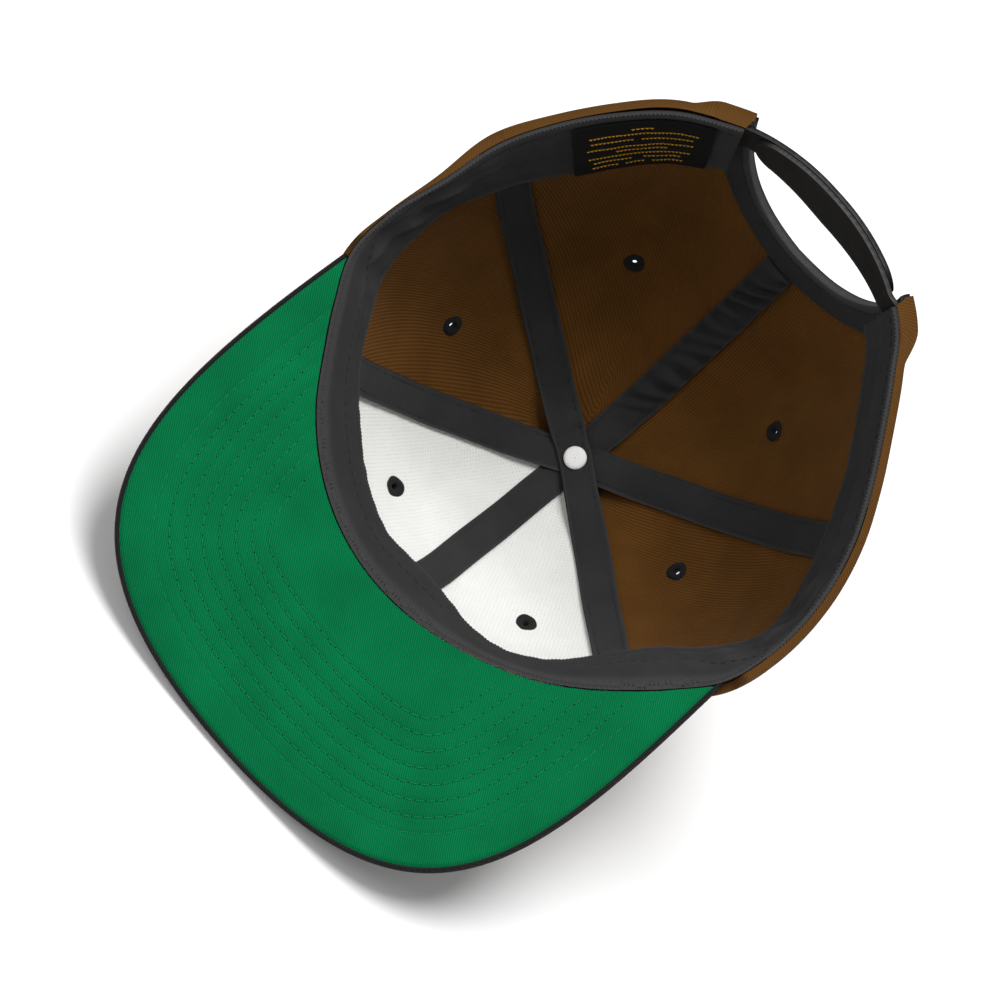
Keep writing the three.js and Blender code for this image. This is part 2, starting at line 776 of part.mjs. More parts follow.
function strapInner() {
  const returnEnd = outerTip + degreesAlongStrap(strapTipGap);
  const depthAt = (azimuth) => {
    return mix(besideStrap, underBinding, ease(azimuth, outerTip + 0.6, returnEnd + 2));
  };
  const sheet = strap(360 - strapRootAzimuth, innerTip, depthAt);
  const studs = studPlaces().map(({ centre, axis }) => {
    const embedded = -besideStrap - strapThickness / 2;
    return placedAlong(cylinder(studRadius, embedded, studRise - underBinding), centre, axis);
  });
  return joinedWith(sheet, studs);
}

// Visor outline: from the corner at the rim to the middle of the front edge
function visorEdge(share, side, inset) {
  const shape = visorShape.find((row) => row.side === side);
  const corner = new THREE.Vector2(visorCorner.x, visorCorner.y);
  const flare = visorLength * shape.cornerFlare;
  const reach = visorLength * shape.cornerReach;
  const handle = new THREE.Vector2(corner.x + flare, corner.y - reach);
  const front = new THREE.Vector2(visorLength * shape.frontReach, visorTipY);
  const tip = new THREE.Vector2(0, visorTipY);
  const curve = new THREE.CubicBezierCurve(corner, handle, front, tip);
  const point = curve.getPoint(share);
  const along = curve.getTangent(share);
  return new THREE.Vector2(side * (point.x + along.y * inset), point.y - along.x * inset);
}

function visorColumns() {
  const steps = 12;
  const columns = [];
  for (let k = -steps; k <= steps; k += 1) {
    columns.push({ side: k < 0 ? -1 : 1, share: 1 - Math.abs(k) / steps });
  }
  return columns;
}

function visorLayer(bottom, thickness, inset) {
  const columns = visorColumns();
  const rows = 5;
  return shell(columns.length - 1, rows, (i, j, face) => {
    const { side, share } = columns[i];
    const azimuth = side * visorCornerAzimuth * (1 - share);
    const inner = rimPoint(azimuth, gap + 0.15);
    const outer = visorEdge(share, side, inset);
    const plan = inner.lerp(outer, j / rows);
    const height = visorHeight(plan.x, plan.y) + bottom + face * thickness;
    return new THREE.Vector3(plan.x, plan.y, height);
  });
}

// Button outside of the apex, with the post that the rivet inside holds
const stackUnderRivet = 2 * gap + buckramThickness + 3 * (tapeThickness + gap);
const rivetTop = crownHeight - stackUnderRivet - facetSag;
const buttonBottom = crownHeight + clothThickness + gap;

function topButton() {
  const top = buttonBottom + buttonHeight;
  const body = turnedShape([
    [0, rivetTop + gap],
    [postRadius, rivetTop + gap],
    [postRadius, buttonBottom],
    [buttonRadius * 0.95, buttonBottom],
    [buttonRadius, buttonBottom + buttonHeight * 0.2],
    [buttonRadius * 0.87, buttonBottom + buttonHeight * 0.6],
    [buttonRadius * 0.55, buttonBottom + buttonHeight * 0.9],
    [0, top],
  ]);
  return body.translate(apex.x, apex.y, 0);
}

function apexRivet() {
  const body = turnedShape([
    [0, rivetTop],
    [rivetRadius * 0.93, rivetTop],
    [rivetRadius, rivetTop - rivetThickness * 0.35],
    [rivetRadius * 0.9, rivetTop - rivetThickness * 0.75],
    [rivetRadius * 0.6, rivetTop - rivetThickness],
    [0, rivetTop - rivetThickness],
  ]);
  return body.translate(apex.x, apex.y, 0);
}

// Assembly
const cap = new THREE.Group();

function add(name, geometry, material) {
  const mesh = new THREE.Mesh(geometry, material.clone());
  mesh.name = name;
  cap.add(mesh);
}

const panelSides = [{ word: 'left', sign: 1 }, { word: 'right', sign: -1 }];

for (const { word, sign } of panelSides) {
  add(`crown_panel_front_${word}`, crownPanel(onSide(frontColumns, sign)), brownCloth);
  add(`crown_panel_side_${word}`, crownPanel(onSide(sideColumns, sign)), brownCloth);
  add(`crown_panel_back_${word}`, crownPanel(onSide(backColumns, sign)), brownCloth);
  add(`buckram_front_${word}`, buckram(onSide(frontColumns, sign)), whiteMesh);
}

const tapeStart = bandHeight / 2;
const tapeStartAtArch = archHeight + bindingWidth + 2 * gap;
add('seam_tape_c', seamTape(0, 180, 0, tapeStart, tapeStartAtArch), blackCloth);
add('seam_tape_b', seamTape(frontSeamAzimuth, -rearSeamAzimuth, 1, tapeStart, tapeStart), blackCloth);
add('seam_tape_a', seamTape(-frontSeamAzimuth, rearSeamAzimuth, 2, tapeStart, tapeStart), blackCloth);

add('sweatband', sweatband(), blackCloth);
add('sweatband_label', sweatbandLabel(), labelCloth);
add('back_opening_binding', backOpeningBinding(), blackCloth);
add('strap_outer', strapOuter(), blackPlastic);
add('strap_inner', strapInner(), blackPlastic);
add('visor_under', visorLayer(0, visorClothThickness, visorEdgeWidth), greenCloth);
add('visor_top', visorLayer(visorClothThickness + gap, visorBoardThickness, 0), blackCloth);

for (const place of eyeletPlaces) {
  add(`eyelet_${place.name}`, eyelet(place), blackCloth);
}

add('top_button', topButton(), brownCloth);
add('apex_rivet', apexRivet(), whiteMetal);

// Turned over: the opening faces up and forward, and the visor points towards -Y
const turned = new THREE.Group();
cap.rotation.x = Math.PI - restAngle;
turned.rotation.z = Math.PI;
turned.add(cap);

// The origin is the middle of the footprint, on the floor
const group = new THREE.Group();
group.add(turned);
group.updateMatrixWorld(true);
const bounds = new THREE.Box3().setFromObject(group, true);
const middle = bounds.getCenter(new THREE.Vector3());
turned.position.set(-middle.x, -middle.y, -bounds.min.z);

export default group;
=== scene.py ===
"""Looks of the snapback cap: fine cloth, tapes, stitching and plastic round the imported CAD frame.

Every piece is drawn as the cap is worn, in millimetres, with +Z up, the visor towards -Y and the
wearer's left towards +X. to_row() then turns it over into the row frame, in metres. Azimuth is
measured round the rim from the front, in degrees, positive to the wearer's left.
"""

import math

import bpy
import numpy as np
from mathutils import Matrix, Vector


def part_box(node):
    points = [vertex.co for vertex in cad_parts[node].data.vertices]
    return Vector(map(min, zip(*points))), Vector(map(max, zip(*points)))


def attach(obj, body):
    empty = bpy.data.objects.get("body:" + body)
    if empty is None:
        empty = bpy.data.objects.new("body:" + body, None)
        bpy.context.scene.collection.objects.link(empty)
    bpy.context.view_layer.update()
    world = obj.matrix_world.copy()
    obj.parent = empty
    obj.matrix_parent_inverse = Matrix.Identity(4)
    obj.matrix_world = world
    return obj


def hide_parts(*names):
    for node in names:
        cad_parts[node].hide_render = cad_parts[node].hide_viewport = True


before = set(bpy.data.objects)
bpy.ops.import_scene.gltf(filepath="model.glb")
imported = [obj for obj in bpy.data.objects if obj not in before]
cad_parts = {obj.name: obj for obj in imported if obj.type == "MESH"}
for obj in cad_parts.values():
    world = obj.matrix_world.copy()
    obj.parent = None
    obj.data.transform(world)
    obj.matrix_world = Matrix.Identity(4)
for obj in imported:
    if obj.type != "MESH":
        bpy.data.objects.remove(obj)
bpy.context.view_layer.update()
bpy.context.scene.view_settings.view_transform = "Standard"

# Clearance between pieces that touch
GAP = 0.3

# Crown
RIM_HALF_LENGTH = 93
RIM_HALF_WIDTH = 91
CROWN_HEIGHT = 118
APEX_FORWARD = 13
CLOTH_THICKNESS = 1.6
HEM_THICKNESS = 2.6
HEM_HEIGHT = 10
GORE_BULGE = 1.6
DENT_DEPTH = 3
FRONT_SEAM = 52
REAR_SEAM = 109
REST_FLATTENING = 2.6

# Layers inside the crown
BUCKRAM_THICKNESS = 1
TAPE_WIDTH = 12
TAPE_THICKNESS = 0.9
TAPE_RAMP_START = 13
TAPE_RAMP_LENGTH = 18

# Sweatband and its label
BAND_HEIGHT = 30
BAND_INSET = 9.6
BAND_THICKNESS = 1.2
BAND_END = 157
LABEL_WIDTH = 48
LABEL_HEIGHT = 28
LABEL_THICKNESS = 0.5
LABEL_AZIMUTH = 137.5

# Back opening and its binding
ARCH_HALF = 22
ARCH_HEIGHT = 52
ARCH_SQUARENESS = 3.2
BINDING_WIDTH = 10
BINDING_THICKNESS = 0.8
BINDING_INSET = 0.7

# Snap straps
STRAP_HEIGHT = 20.5
STRAP_THICKNESS = 1.4
STRAP_BOTTOM = 1
STRAP_ROOT = 150.5
STRAP_TIP_GAP = 4
STRAP_TIP_LENGTH = 8
STUD_COUNT = 6
STUD_SPACING = 9.6
STUD_RADIUS = 2.3
STUD_RISE = 1

# Visor
VISOR_LENGTH = 69.7
VISOR_CORNER = 71
VISOR_CORNER_WIDTH = 1.6
VISOR_DROOP = 5.5
VISOR_ARCH = 8
VISOR_CLOTH = 1
VISOR_BOARD = 2.2
VISOR_EDGE_WIDTH = 1.3
VISOR_STITCH_ROWS = 8
VISOR_FIRST_ROW = 11.5
VISOR_ROW_SPACING = 5.1
VISOR_STITCH_INSETS = [VISOR_FIRST_ROW + k * VISOR_ROW_SPACING for k in range(VISOR_STITCH_ROWS)]

# Eyelets, button and rivet
EYELET_RADIUS = 3.7
EYELET_OPEN = 0.85
EYELET_CUT_RADIUS = 1.9
EYELET_CUT_REACH = 6
EYELET_LEAN = 0.2
STIFF_EYELET_STRETCH = 1.35
BUTTON_RADIUS = 7.5
BUTTON_HEIGHT = 4.6
POST_RADIUS = 1.2
RIVET_RADIUS = 4
RIVET_THICKNESS = 1.4
ROUND_SIDES = 12
FACET_SAG = 0.3

# Stitches: length, gap and thread radius
TAPE_STITCH = (2.4, 0.7, 0.13)
BINDING_STITCH = (2.4, 0.7, 0.14)
BAND_STITCH = (2.8, 0.9, 0.2)
LABEL_STITCH = (1.1, 0.12, 0.24)
VISOR_STITCH = (3.0, 0.45, 0.19)
CROWN_STITCH = (2.6, 0.6, 0.2)

# Seams of the crown
TOPSTITCH_OFFSET = 3.2
ARCH_STITCH_OFFSET = 2.6
SEAM_GROOVE_DEPTH = 0.9
SEAM_GAP = 0.05
TAPE_STITCH_INSET = 1.6
APEX_HOLE = POST_RADIUS + GAP + 0.4

# Hem of the left side: drawn in behind the visor's corner, and padded at the rear seam
CORNER_DRAW = 2.1
CORNER_DRAW_AZIMUTH = 83
HEM_PADDING = 0.9
HEM_PADDING_AZIMUTH = 107

RIM_SHAPE = np.array(
    # azimuth, left, right
    [
        [0, 1.0, 1.0], [20, 1.004, 0.996], [40, 0.998, 0.984], [52, 0.991, 0.988],
        [62, 1.006, 1.01], [72, 1.031, 1.043], [82, 1.005, 1.034], [95, 0.962, 1.008],
        [108, 0.975, 0.978], [120, 0.981, 0.951], [132, 0.998, 0.947], [144, 1.026, 0.977],
        [152, 1.034, 1.016], [160, 1.046, 1.034], [170, 1.048, 1.043], [180, 1.045, 1.045],
    ]
)

PROFILE_SHAPE = np.array(
    # azimuth, skirt out, skirt up, shoulder out, shoulder up
    [
        [0, 1.03, 0.42, 0.7, 0.98], [52, 1.04, 0.4, 0.69, 0.985], [90, 1.05, 0.37, 0.67, 0.98],
        [125, 1.02, 0.36, 0.68, 0.98], [150, 1.02, 0.36, 0.68, 0.985],
        [180, 0.94, 0.34, 0.64, 0.97],
    ]
)

BAND_TOP = np.array(
    # azimuth, inset of the upper edge
    [
        [-157, 7.2], [-141, 6.8], [-126, 6.5], [-109, 7.7], [-98, 6.8], [-90, 5.6], [-83, 5.9],
        [-73, 11.2], [-65, 13.2], [-58, 13.2], [-48, 10.9], [-37, 7.7], [-26, 7.1], [-16, 9.6],
        [-8, 12.7], [1, 13.5], [12, 11.2], [23, 11.4], [38, 11.3], [54, 8.7], [69, 9.0], [83, 6.4],
        [94, 4.1], [105, 7.8], [122, 11.1], [140, 10.3], [157, 8.8],
    ]
)

VISOR_SHAPE = {
    1: {"corner_flare": 0.09, "corner_reach": 1.21, "front_reach": 1.31},
    -1: {"corner_flare": 0.05, "corner_reach": 1.11, "front_reach": 1.38},
}

DENTS = [
    {"azimuth": -80, "up": 0.36, "depth": 0.8, "around": 13, "spread": 0.13},
    {"azimuth": -128, "up": 0.4, "depth": 0.5, "around": 12, "spread": 0.15},
    {"azimuth": 82, "up": 0.38, "depth": 0.45, "around": 12, "spread": 0.14},
    {"azimuth": 142, "up": 0.1, "depth": -0.5, "around": 10, "spread": 0.12},
]

EYELETS = [
    {"name": "front_left", "azimuth": 26, "out": 0.754, "stiffened": True},
    {"name": "front_right", "azimuth": -29, "out": 0.743, "stiffened": True},
    {"name": "side_left", "azimuth": 79, "out": 0.645, "stiffened": False},
    {"name": "side_right", "azimuth": -82, "out": 0.551, "stiffened": False},
    {"name": "back_left", "azimuth": 143.7, "out": 0.628, "stiffened": False},
    {"name": "back_right", "azimuth": -139.6, "out": 0.667, "stiffened": False},
]

APEX = np.array([0.0, -APEX_FORWARD])


# Small helpers on arrays
def around(azimuth):
    return (np.asarray(azimuth, float) + 180) % 360 - 180


def ease(value, low, high):
    share = np.clip((np.asarray(value, float) - low) / (high - low), 0, 1)
    return share * share * (3 - 2 * share)


def mix(a, b, share):
    return a + (b - a) * share


def unit(vectors):
    length = np.linalg.norm(vectors, axis=-1, keepdims=True)
    return vectors / np.maximum(length, 1e-12)


def stack(x, y, z):
    return np.stack(np.broadcast_arrays(x, y, z), axis=-1).astype(float)


def look_up(table, column, azimuth):
    """Smooth value of one column of a table of rows ordered by azimuth, flat at both ends."""
    places = table[:, 0]
    values = table[:, column]
    slope = np.zeros(len(values))
    slope[1:-1] = (values[2:] - values[:-2]) / (places[2:] - places[:-2])
    at = np.clip(azimuth, places[0], places[-1])
    i = np.clip(np.searchsorted(places, at, side="right") - 1, 0, len(places) - 2)
    width = places[i + 1] - places[i]
    s = (at - places[i]) / width
    bump = s * s * (3 - 2 * s)
    leave = slope[i] * width * s * (1 - s) ** 2
    arrive = slope[i + 1] * width * s * s * (1 - s)
    return values[i] * (1 - bump) + values[i + 1] * bump + leave - arrive


def solve(rising, goal, low, high):
    """Value between low and high where a rising function reaches a goal, on arrays."""
    goal = np.asarray(goal, float)
    a = np.broadcast_to(np.asarray(low, float), goal.shape).copy()
    b = np.broadcast_to(np.asarray(high, float), goal.shape).copy()
    for _ in range(32):
        middle = (a + b) / 2
        below = rising(middle) < goal
        a = np.where(below, middle, a)
        b = np.where(below, b, middle)
    return (a + b) / 2


# Wall of the crown
def rim_point(azimuth, outward=0.0):
    a = around(azimuth)
    left = look_up(RIM_SHAPE, 1, np.abs(a))
    right = look_up(RIM_SHAPE, 2, np.abs(a))
    share = np.where(a >= 0, left, right)
    x = RIM_HALF_WIDTH * share * np.sin(np.radians(a))
    y = -RIM_HALF_LENGTH * share * np.cos(np.radians(a))
    length = np.hypot(x, y)
    scale = (length + outward) / length
    return np.stack(np.broadcast_arrays(x * scale, y * scale), axis=-1)


TAB_ROOM = BINDING_THICKNESS + STRAP_THICKNESS + 3 * GAP
TAB_AZIMUTH = 180 - ARCH_HALF


def near_tab(azimuth):
    return ease(np.abs(around(azimuth)), TAB_AZIMUTH - 12, TAB_AZIMUTH - 6)


def wall_rim_point(azimuth):
    return rim_point(azimuth, GAP + TAB_ROOM * near_tab(azimuth))


def profile(azimuth, t):
    a = np.abs(around(azimuth))
    s = 1 - t
    near = 3 * s * s * t
    far = 3 * s * t * t
    out = s**3 + near * look_up(PROFILE_SHAPE, 1, a) + far * look_up(PROFILE_SHAPE, 3, a)
    up = near * look_up(PROFILE_SHAPE, 2, a) + far * look_up(PROFILE_SHAPE, 4, a) + t**3
    return out, CROWN_HEIGHT * up


def smooth_wall(azimuth, t):
    out, height = profile(azimuth, t)
    plan = (wall_rim_point(azimuth) - APEX) * out[..., None] + APEX
    return np.concatenate([plan, height[..., None]], axis=-1)


def wall_normal(azimuth, t):
    step = 0.002
    late = np.minimum(t, 1 - 2 * step)
    across = smooth_wall(azimuth + 0.5, late) - smooth_wall(azimuth - 0.5, late)
    upward = smooth_wall(azimuth, late + step) - smooth_wall(azimuth, late - step)
    return unit(np.cross(across, upward))


SEAMS = np.array([-180, -REAR_SEAM, -FRONT_SEAM, 0, FRONT_SEAM, REAR_SEAM, 180], float)


def bulge(azimuth, t):
    a = around(azimuth)
    k = np.clip(np.searchsorted(SEAMS, a, side="left") - 1, 0, len(SEAMS) - 2)
    across = (a - SEAMS[k]) / (SEAMS[k + 1] - SEAMS[k])
    rise = GORE_BULGE * np.sin(np.pi * across) * np.sin(np.pi * t)
    for dent in DENTS:
        sideways = around(a - dent["azimuth"]) / dent["around"]
        upward = (t - dent["up"]) / dent["spread"]
        rise = rise - DENT_DEPTH * dent["depth"] * np.exp(-(sideways**2) - upward**2)
    return rise


def full_wall(azimuth, t, outward):
    away = bulge(azimuth, t) + outward
    return smooth_wall(azimuth, t) + wall_normal(azimuth, t) * away[..., None]


# Visor underside and the resting plane
VISOR_CORNER_POINT = rim_point(VISOR_CORNER, VISOR_CORNER_WIDTH)
VISOR_TIP_Y = -RIM_HALF_LENGTH - VISOR_LENGTH
VISOR_STACK = VISOR_CLOTH + GAP + VISOR_BOARD


def visor_height(x, y):
    sideways = x / VISOR_CORNER_POINT[0]
    drop = math.tan(math.radians(VISOR_DROOP)) * (VISOR_CORNER_POINT[1] - y)
    return VISOR_ARCH * (1 - sideways * sideways) - drop


REST_POINT = np.array([0, VISOR_TIP_Y, visor_height(0, VISOR_TIP_Y) + VISOR_STACK])


def find_rest_angle():
    azimuth, t = np.meshgrid(np.arange(-FRONT_SEAM, FRONT_SEAM + 1, 2.0), np.arange(0.3, 0.98, 0.01))
    reach = full_wall(azimuth, t, np.full(t.shape, CLOTH_THICKNESS)) - REST_POINT
    length = np.hypot(reach[..., 1], reach[..., 2])
    lift = np.arctan2(reach[..., 2], reach[..., 1]) - np.arcsin(REST_FLATTENING / length)
    return float(max(0, lift.max()))


REST_ANGLE = find_rest_angle()
REST_NORMAL = np.array([0, -math.sin(REST_ANGLE), math.cos(REST_ANGLE)])


def wall(azimuth, t, outward=0.0, relief=0.0):
    """Point of the wall at a distance outside of the cloth's inner face, pressed flat where the
    crown rests. relief raises the cloth's two faces together."""
    azimuth, t, outward, relief = np.broadcast_arrays(azimuth, t, outward, relief)
    azimuth = azimuth.astype(float)
    t = t.astype(float)
    normal = wall_normal(azimuth, t)
    base = smooth_wall(azimuth, t) + normal * (bulge(azimuth, t) + relief)[..., None]
    face = base + normal * CLOTH_THICKNESS
    below = np.maximum(0, (face - REST_POINT) @ REST_NORMAL)
    return base + normal * outward[..., None] - REST_NORMAL * below[..., None]


def at_height(azimuth, height):
    azimuth, height = np.broadcast_arrays(np.asarray(azimuth, float), height)
    return solve(lambda t: profile(azimuth, t)[1], height, 0, 1)


def at_share(azimuth, share):
    azimuth, share = np.broadcast_arrays(np.asarray(azimuth, float), share)
    return solve(lambda t: -profile(azimuth, t)[0], -share, 0.3, 1)


def plan_reach(azimuth):
    return np.linalg.norm(wall_rim_point(azimuth) - APEX, axis=-1)


def at_plan_distance(azimuth, distance):
    return at_share(azimuth, distance / plan_reach(azimuth))


def arch_edge(across):
    inside = np.maximum(0, 1 - np.abs(across) ** ARCH_SQUARENESS)
    return ARCH_HEIGHT * inside ** (1 / ARCH_SQUARENESS)


def arch_across(step, steps):
    angle = (np.pi / 2) * (step / steps) ** 1.6
    return np.abs(np.cos(angle)) ** (2 / ARCH_SQUARENESS)


def hem_level(azimuth):
    a = np.abs(around(azimuth))
    across = (180 - a) / ARCH_HALF
    plan = rim_point(azimuth)
    over_visor = ease(VISOR_CORNER + 5 - a, 0, 3.5)
    low = over_visor * (visor_height(plan[..., 0], plan[..., 1]) + VISOR_STACK + GAP)
    return np.where(across < 1, arch_edge(np.minimum(across, 1)), low)


# Into the row frame
TURN = np.array(
    [
        [-1, 0, 0],
        [0, math.cos(REST_ANGLE), math.sin(REST_ANGLE)],
        [0, math.sin(REST_ANGLE), -math.cos(REST_ANGLE)],
    ]
)

STACK_UNDER_RIVET = 2 * GAP + BUCKRAM_THICKNESS + 3 * (TAPE_THICKNESS + GAP)
RIVET_TOP = CROWN_HEIGHT - STACK_UNDER_RIVET - FACET_SAG
RIVET_PROFILE = np.array(
    # share of the radius, share of the thickness under the top
    [[0.93, 0], [1, 0.35], [0.9, 0.75], [0.6, 1]]
)


def find_shift():
    """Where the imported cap's origin lies, read from its rivet."""
    low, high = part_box("apex_rivet")
    turn = np.radians(np.arange(ROUND_SIDES) * 360 / ROUND_SIDES)
    rings = []
    for radius, down in RIVET_PROFILE:
        r = RIVET_RADIUS * radius
        z = RIVET_TOP - RIVET_THICKNESS * down
        rings.append(stack(r * np.sin(turn), r * np.cos(turn) - APEX_FORWARD, z))
    points = np.concatenate(rings) @ TURN.T
    middle = (points.min(axis=0) + points.max(axis=0)) / 2
    packed = (np.array(low) + np.array(high)) / 2
    return packed * 1000 - middle


SHIFT = find_shift()


def to_row(points):
    return (np.asarray(points, float) @ TURN.T + SHIFT) / 1000


# Meshes
def signed_volume(points, faces):
    total = 0.0
    for a, b, c in ((0, 1, 2), (0, 2, 3)):
        p, q, r = points[faces[:, a]], points[faces[:, b]], points[faces[:, c]]
        total += np.einsum("ij,ij->i", p, np.cross(q, r)).sum()
    return total


def new_object(name, data):
    obj = bpy.data.objects.new(name, data)
    bpy.context.scene.collection.objects.link(obj)
    return obj


def new_mesh(name, points, quads):
    """Mesh from points in metres. A quad that repeats a point becomes a triangle."""
    mesh = bpy.data.meshes.new(name)
    mesh.from_pydata(points.tolist(), [], [tuple(dict.fromkeys(row)) for row in quads.tolist()])
    return mesh


def round_edges(obj, width, segments=2):
    cut = obj.modifiers.new("edge", "BEVEL")
    cut.width = width / 1000
    cut.segments = segments
    cut.limit_method = "ANGLE"
    cut.angle_limit = math.radians(50)
    cut.use_clamp_overlap = True


def make(name, points, quads, weave, material, replaces=(), slot=None, bevel=0.0):
    """A mesh object from points in the cap's frame. weave is one row for each point: place across
    and along the cloth in millimetres, and a wear and shade value from 0 to 1 that mixes in the
    material's edge colour: wear on most pieces, painted shade along the crown panels' hem."""
    placed = to_row(points)
    if signed_volume(placed - placed.mean(axis=0), quads) < 0:
        quads = quads[:, ::-1]
    used = np.zeros(len(placed), bool)
    used[quads.ravel()] = True
    renumber = np.cumsum(used) - 1
    mesh = new_mesh(name, placed[used], renumber[quads])
    layer = mesh.attributes.new("weave", "FLOAT_VECTOR", "POINT")
    layer.data.foreach_set("vector", np.ascontiguousarray(weave[used], dtype=np.float32).ravel())
    mesh.polygons.foreach_set("use_smooth", np.ones(len(mesh.polygons), bool))
    mesh.materials.append(material)
    mesh.validate()
    obj = new_object(name, mesh)
    if bevel:
        round_edges(obj, bevel)
    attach(obj, "root")
    if replaces:
        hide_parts(*replaces)
    return obj


def slab(outer, inner, keep=None):
    """Closed solid between two grids of points, without the cells that keep leaves out."""
    n, m = outer.shape[:2]
    if keep is None:
        keep = np.ones((n - 1, m - 1), bool)
    points = np.concatenate([outer.reshape(-1, 3), inner.reshape(-1, 3)])
    index = np.arange(n * m).reshape(n, m)
    other = index + n * m
    quads = []

    def add(a, b, c, d, where):
        quads.append(np.stack([a[where], b[where], c[where], d[where]], axis=-1))

    add(index[:-1, :-1], index[1:, :-1], index[1:, 1:], index[:-1, 1:], keep)
    add(other[:-1, :-1], other[:-1, 1:], other[1:, 1:], other[1:, :-1], keep)
    padded = np.pad(keep, 1)
    before, after = padded[:-1, 1:-1], padded[1:, 1:-1]
    a, b = index[:, :-1], index[:, 1:]
    c, d = other[:, 1:], other[:, :-1]
    add(a, b, c, d, before & ~after)
    add(d, c, b, a, after & ~before)
    before, after = padded[1:-1, :-1], padded[1:-1, 1:]
    a, b = index[:-1, :], index[1:, :]
    c, d = other[1:, :], other[:-1, :]
    add(d, c, b, a, before & ~after)
    add(a, b, c, d, after & ~before)
    return points, np.concatenate(quads)


def make_slab(name, outer, inner, sheet, material, slot, bevel=0.0, keep=None, inner_sheet=None):
    """A piece between two grids. sheet is the weave of its outer face, and of its inner face too
    where that has none of its own."""
    points, quads = slab(outer, inner, keep)
    weave = np.stack([sheet, sheet if inner_sheet is None else inner_sheet]).reshape(-1, 3)
    return make(name, points, quads, weave, material, (name,), slot, bevel)


def ring_grid(rings):
    """Solid from rings of points, each ring closed on itself, with a middle point at both ends."""
    n, m = rings.shape[:2]
    index = np.arange(n * m).reshape(n, m)
    ahead = np.roll(index, -1, axis=1)
    sides = np.stack([index[:-1], index[1:], ahead[1:], ahead[:-1]], axis=-1).reshape(-1, 4)
    points = np.concatenate([rings.reshape(-1, 3), [rings[0].mean(axis=0), rings[-1].mean(axis=0)]])
    first = np.full(m, n * m)
    last = np.full(m, n * m + 1)
    start = np.stack([ahead[0], index[0], first, first], axis=-1)
    end = np.stack([index[-1], ahead[-1], last, last], axis=-1)
    return points, np.concatenate([sides, start, end])


def joined_parts(parts):
    """Points, quads and weave of one mesh, from a list of those of its parts."""
    points, quads, weaves = zip(*parts)
    starts = np.cumsum([0] + [len(part) for part in points[:-1]])
    quads = [part + start for part, start in zip(quads, starts)]
    return np.concatenate(points), np.concatenate(quads), np.concatenate(weaves)


# Materials
def node(tree, kind, inputs=None, **settings):
    made = tree.nodes.new(kind)
    for key, value in settings.items():
        setattr(made, key, value)
    for key, value in (inputs or {}).items():
        if isinstance(value, bpy.types.NodeSocket):
            tree.links.new(value, made.inputs[key])
        else:
            made.inputs[key].default_value = value
    return made


def colour(r, g, b):
    """Linear colour from the 0 to 255 values that a screen shows."""
    linear = [((v / 255 + 0.055) / 1.055) ** 2.4 if v > 10 else v / 255 / 12.92 for v in (r, g, b)]
    return (*linear, 1.0)


def new_material(name, roughness, specular, sheen=0.0):
    material = bpy.data.materials.new(name)
    material.use_nodes = True
    tree = material.node_tree
    shader = tree.nodes["Principled BSDF"]
    shader.inputs["Roughness"].default_value = roughness
    shader.inputs["Specular IOR Level"].default_value = specular
    shader.inputs["Sheen Weight"].default_value = sheen
    shader.inputs["Sheen Roughness"].default_value = 0.6
    return material, tree, shader


def math_node(tree, operation, a, b=0.5):
    return node(tree, "ShaderNodeMath", {0: a, 1: b}, operation=operation).outputs[0]


def mix_colours(tree, share, a, b, blend="MIX"):
    made = tree.nodes.new("ShaderNodeMix")
    made.data_type = "RGBA"
    made.blend_type = blend
    for socket, value in ((made.inputs[0], share), (made.inputs[6], a), (made.inputs[7], b)):
        if isinstance(value, bpy.types.NodeSocket):
            tree.links.new(value, socket)
        else:
            socket.default_value = value
    return made.outputs[2]


def flat_place(tree):
    """Place on the cloth without the wear and painted shade value, so that patterns stay in its surface."""
    source = node(tree, "ShaderNodeAttribute", attribute_name="weave")
    parts = node(tree, "ShaderNodeSeparateXYZ", {0: source.outputs["Vector"]})
    joined = node(tree, "ShaderNodeCombineXYZ", {0: parts.outputs[0], 1: parts.outputs[1]})
    return joined.outputs[0], parts.outputs[2]


def ribs(tree, place, turn, pitch, distortion=0.6):
    """Waves across the cloth, one every pitch millimetres."""
    turned = node(tree, "ShaderNodeMapping", {"Vector": place, "Rotation": (0, 0, math.radians(turn))})
    wave = node(
        tree,
        "ShaderNodeTexWave",
        {
            "Vector": turned.outputs[0],
            "Scale": 2 * math.pi / (20 * pitch),
            "Distortion": distortion,
            "Detail": 2.0,
            "Detail Scale": 3.0,
        },
        wave_type="BANDS",
        bands_direction="X",
    )
    return wave.outputs["Fac"]


def noise(tree, place, scale, detail=3.0, roughness=0.55):
    made = node(
        tree,
        "ShaderNodeTexNoise",
        {"Vector": place, "Scale": scale, "Detail": detail, "Roughness": roughness},
    )
    return made.outputs["Fac"]


def to_range(tree, value, low, high, new_low, new_high):
    made = node(
        tree,
        "ShaderNodeMapRange",
        {0: value, 1: low, 2: high, 3: new_low, 4: new_high},
        clamp=True,
    )
    return made.outputs[0]


def add_bump(tree, shader, height, depth, strength, under=None):
    """Fine relief of a surface, with its depth in millimetres."""
    inputs = {"Height": height, "Distance": depth / 1000, "Strength": strength}
    if under is not None:
        inputs["Normal"] = under.outputs[0]
    made = node(tree, "ShaderNodeBump", inputs)
    tree.links.new(made.outputs[0], shader.inputs["Normal"])
    return made


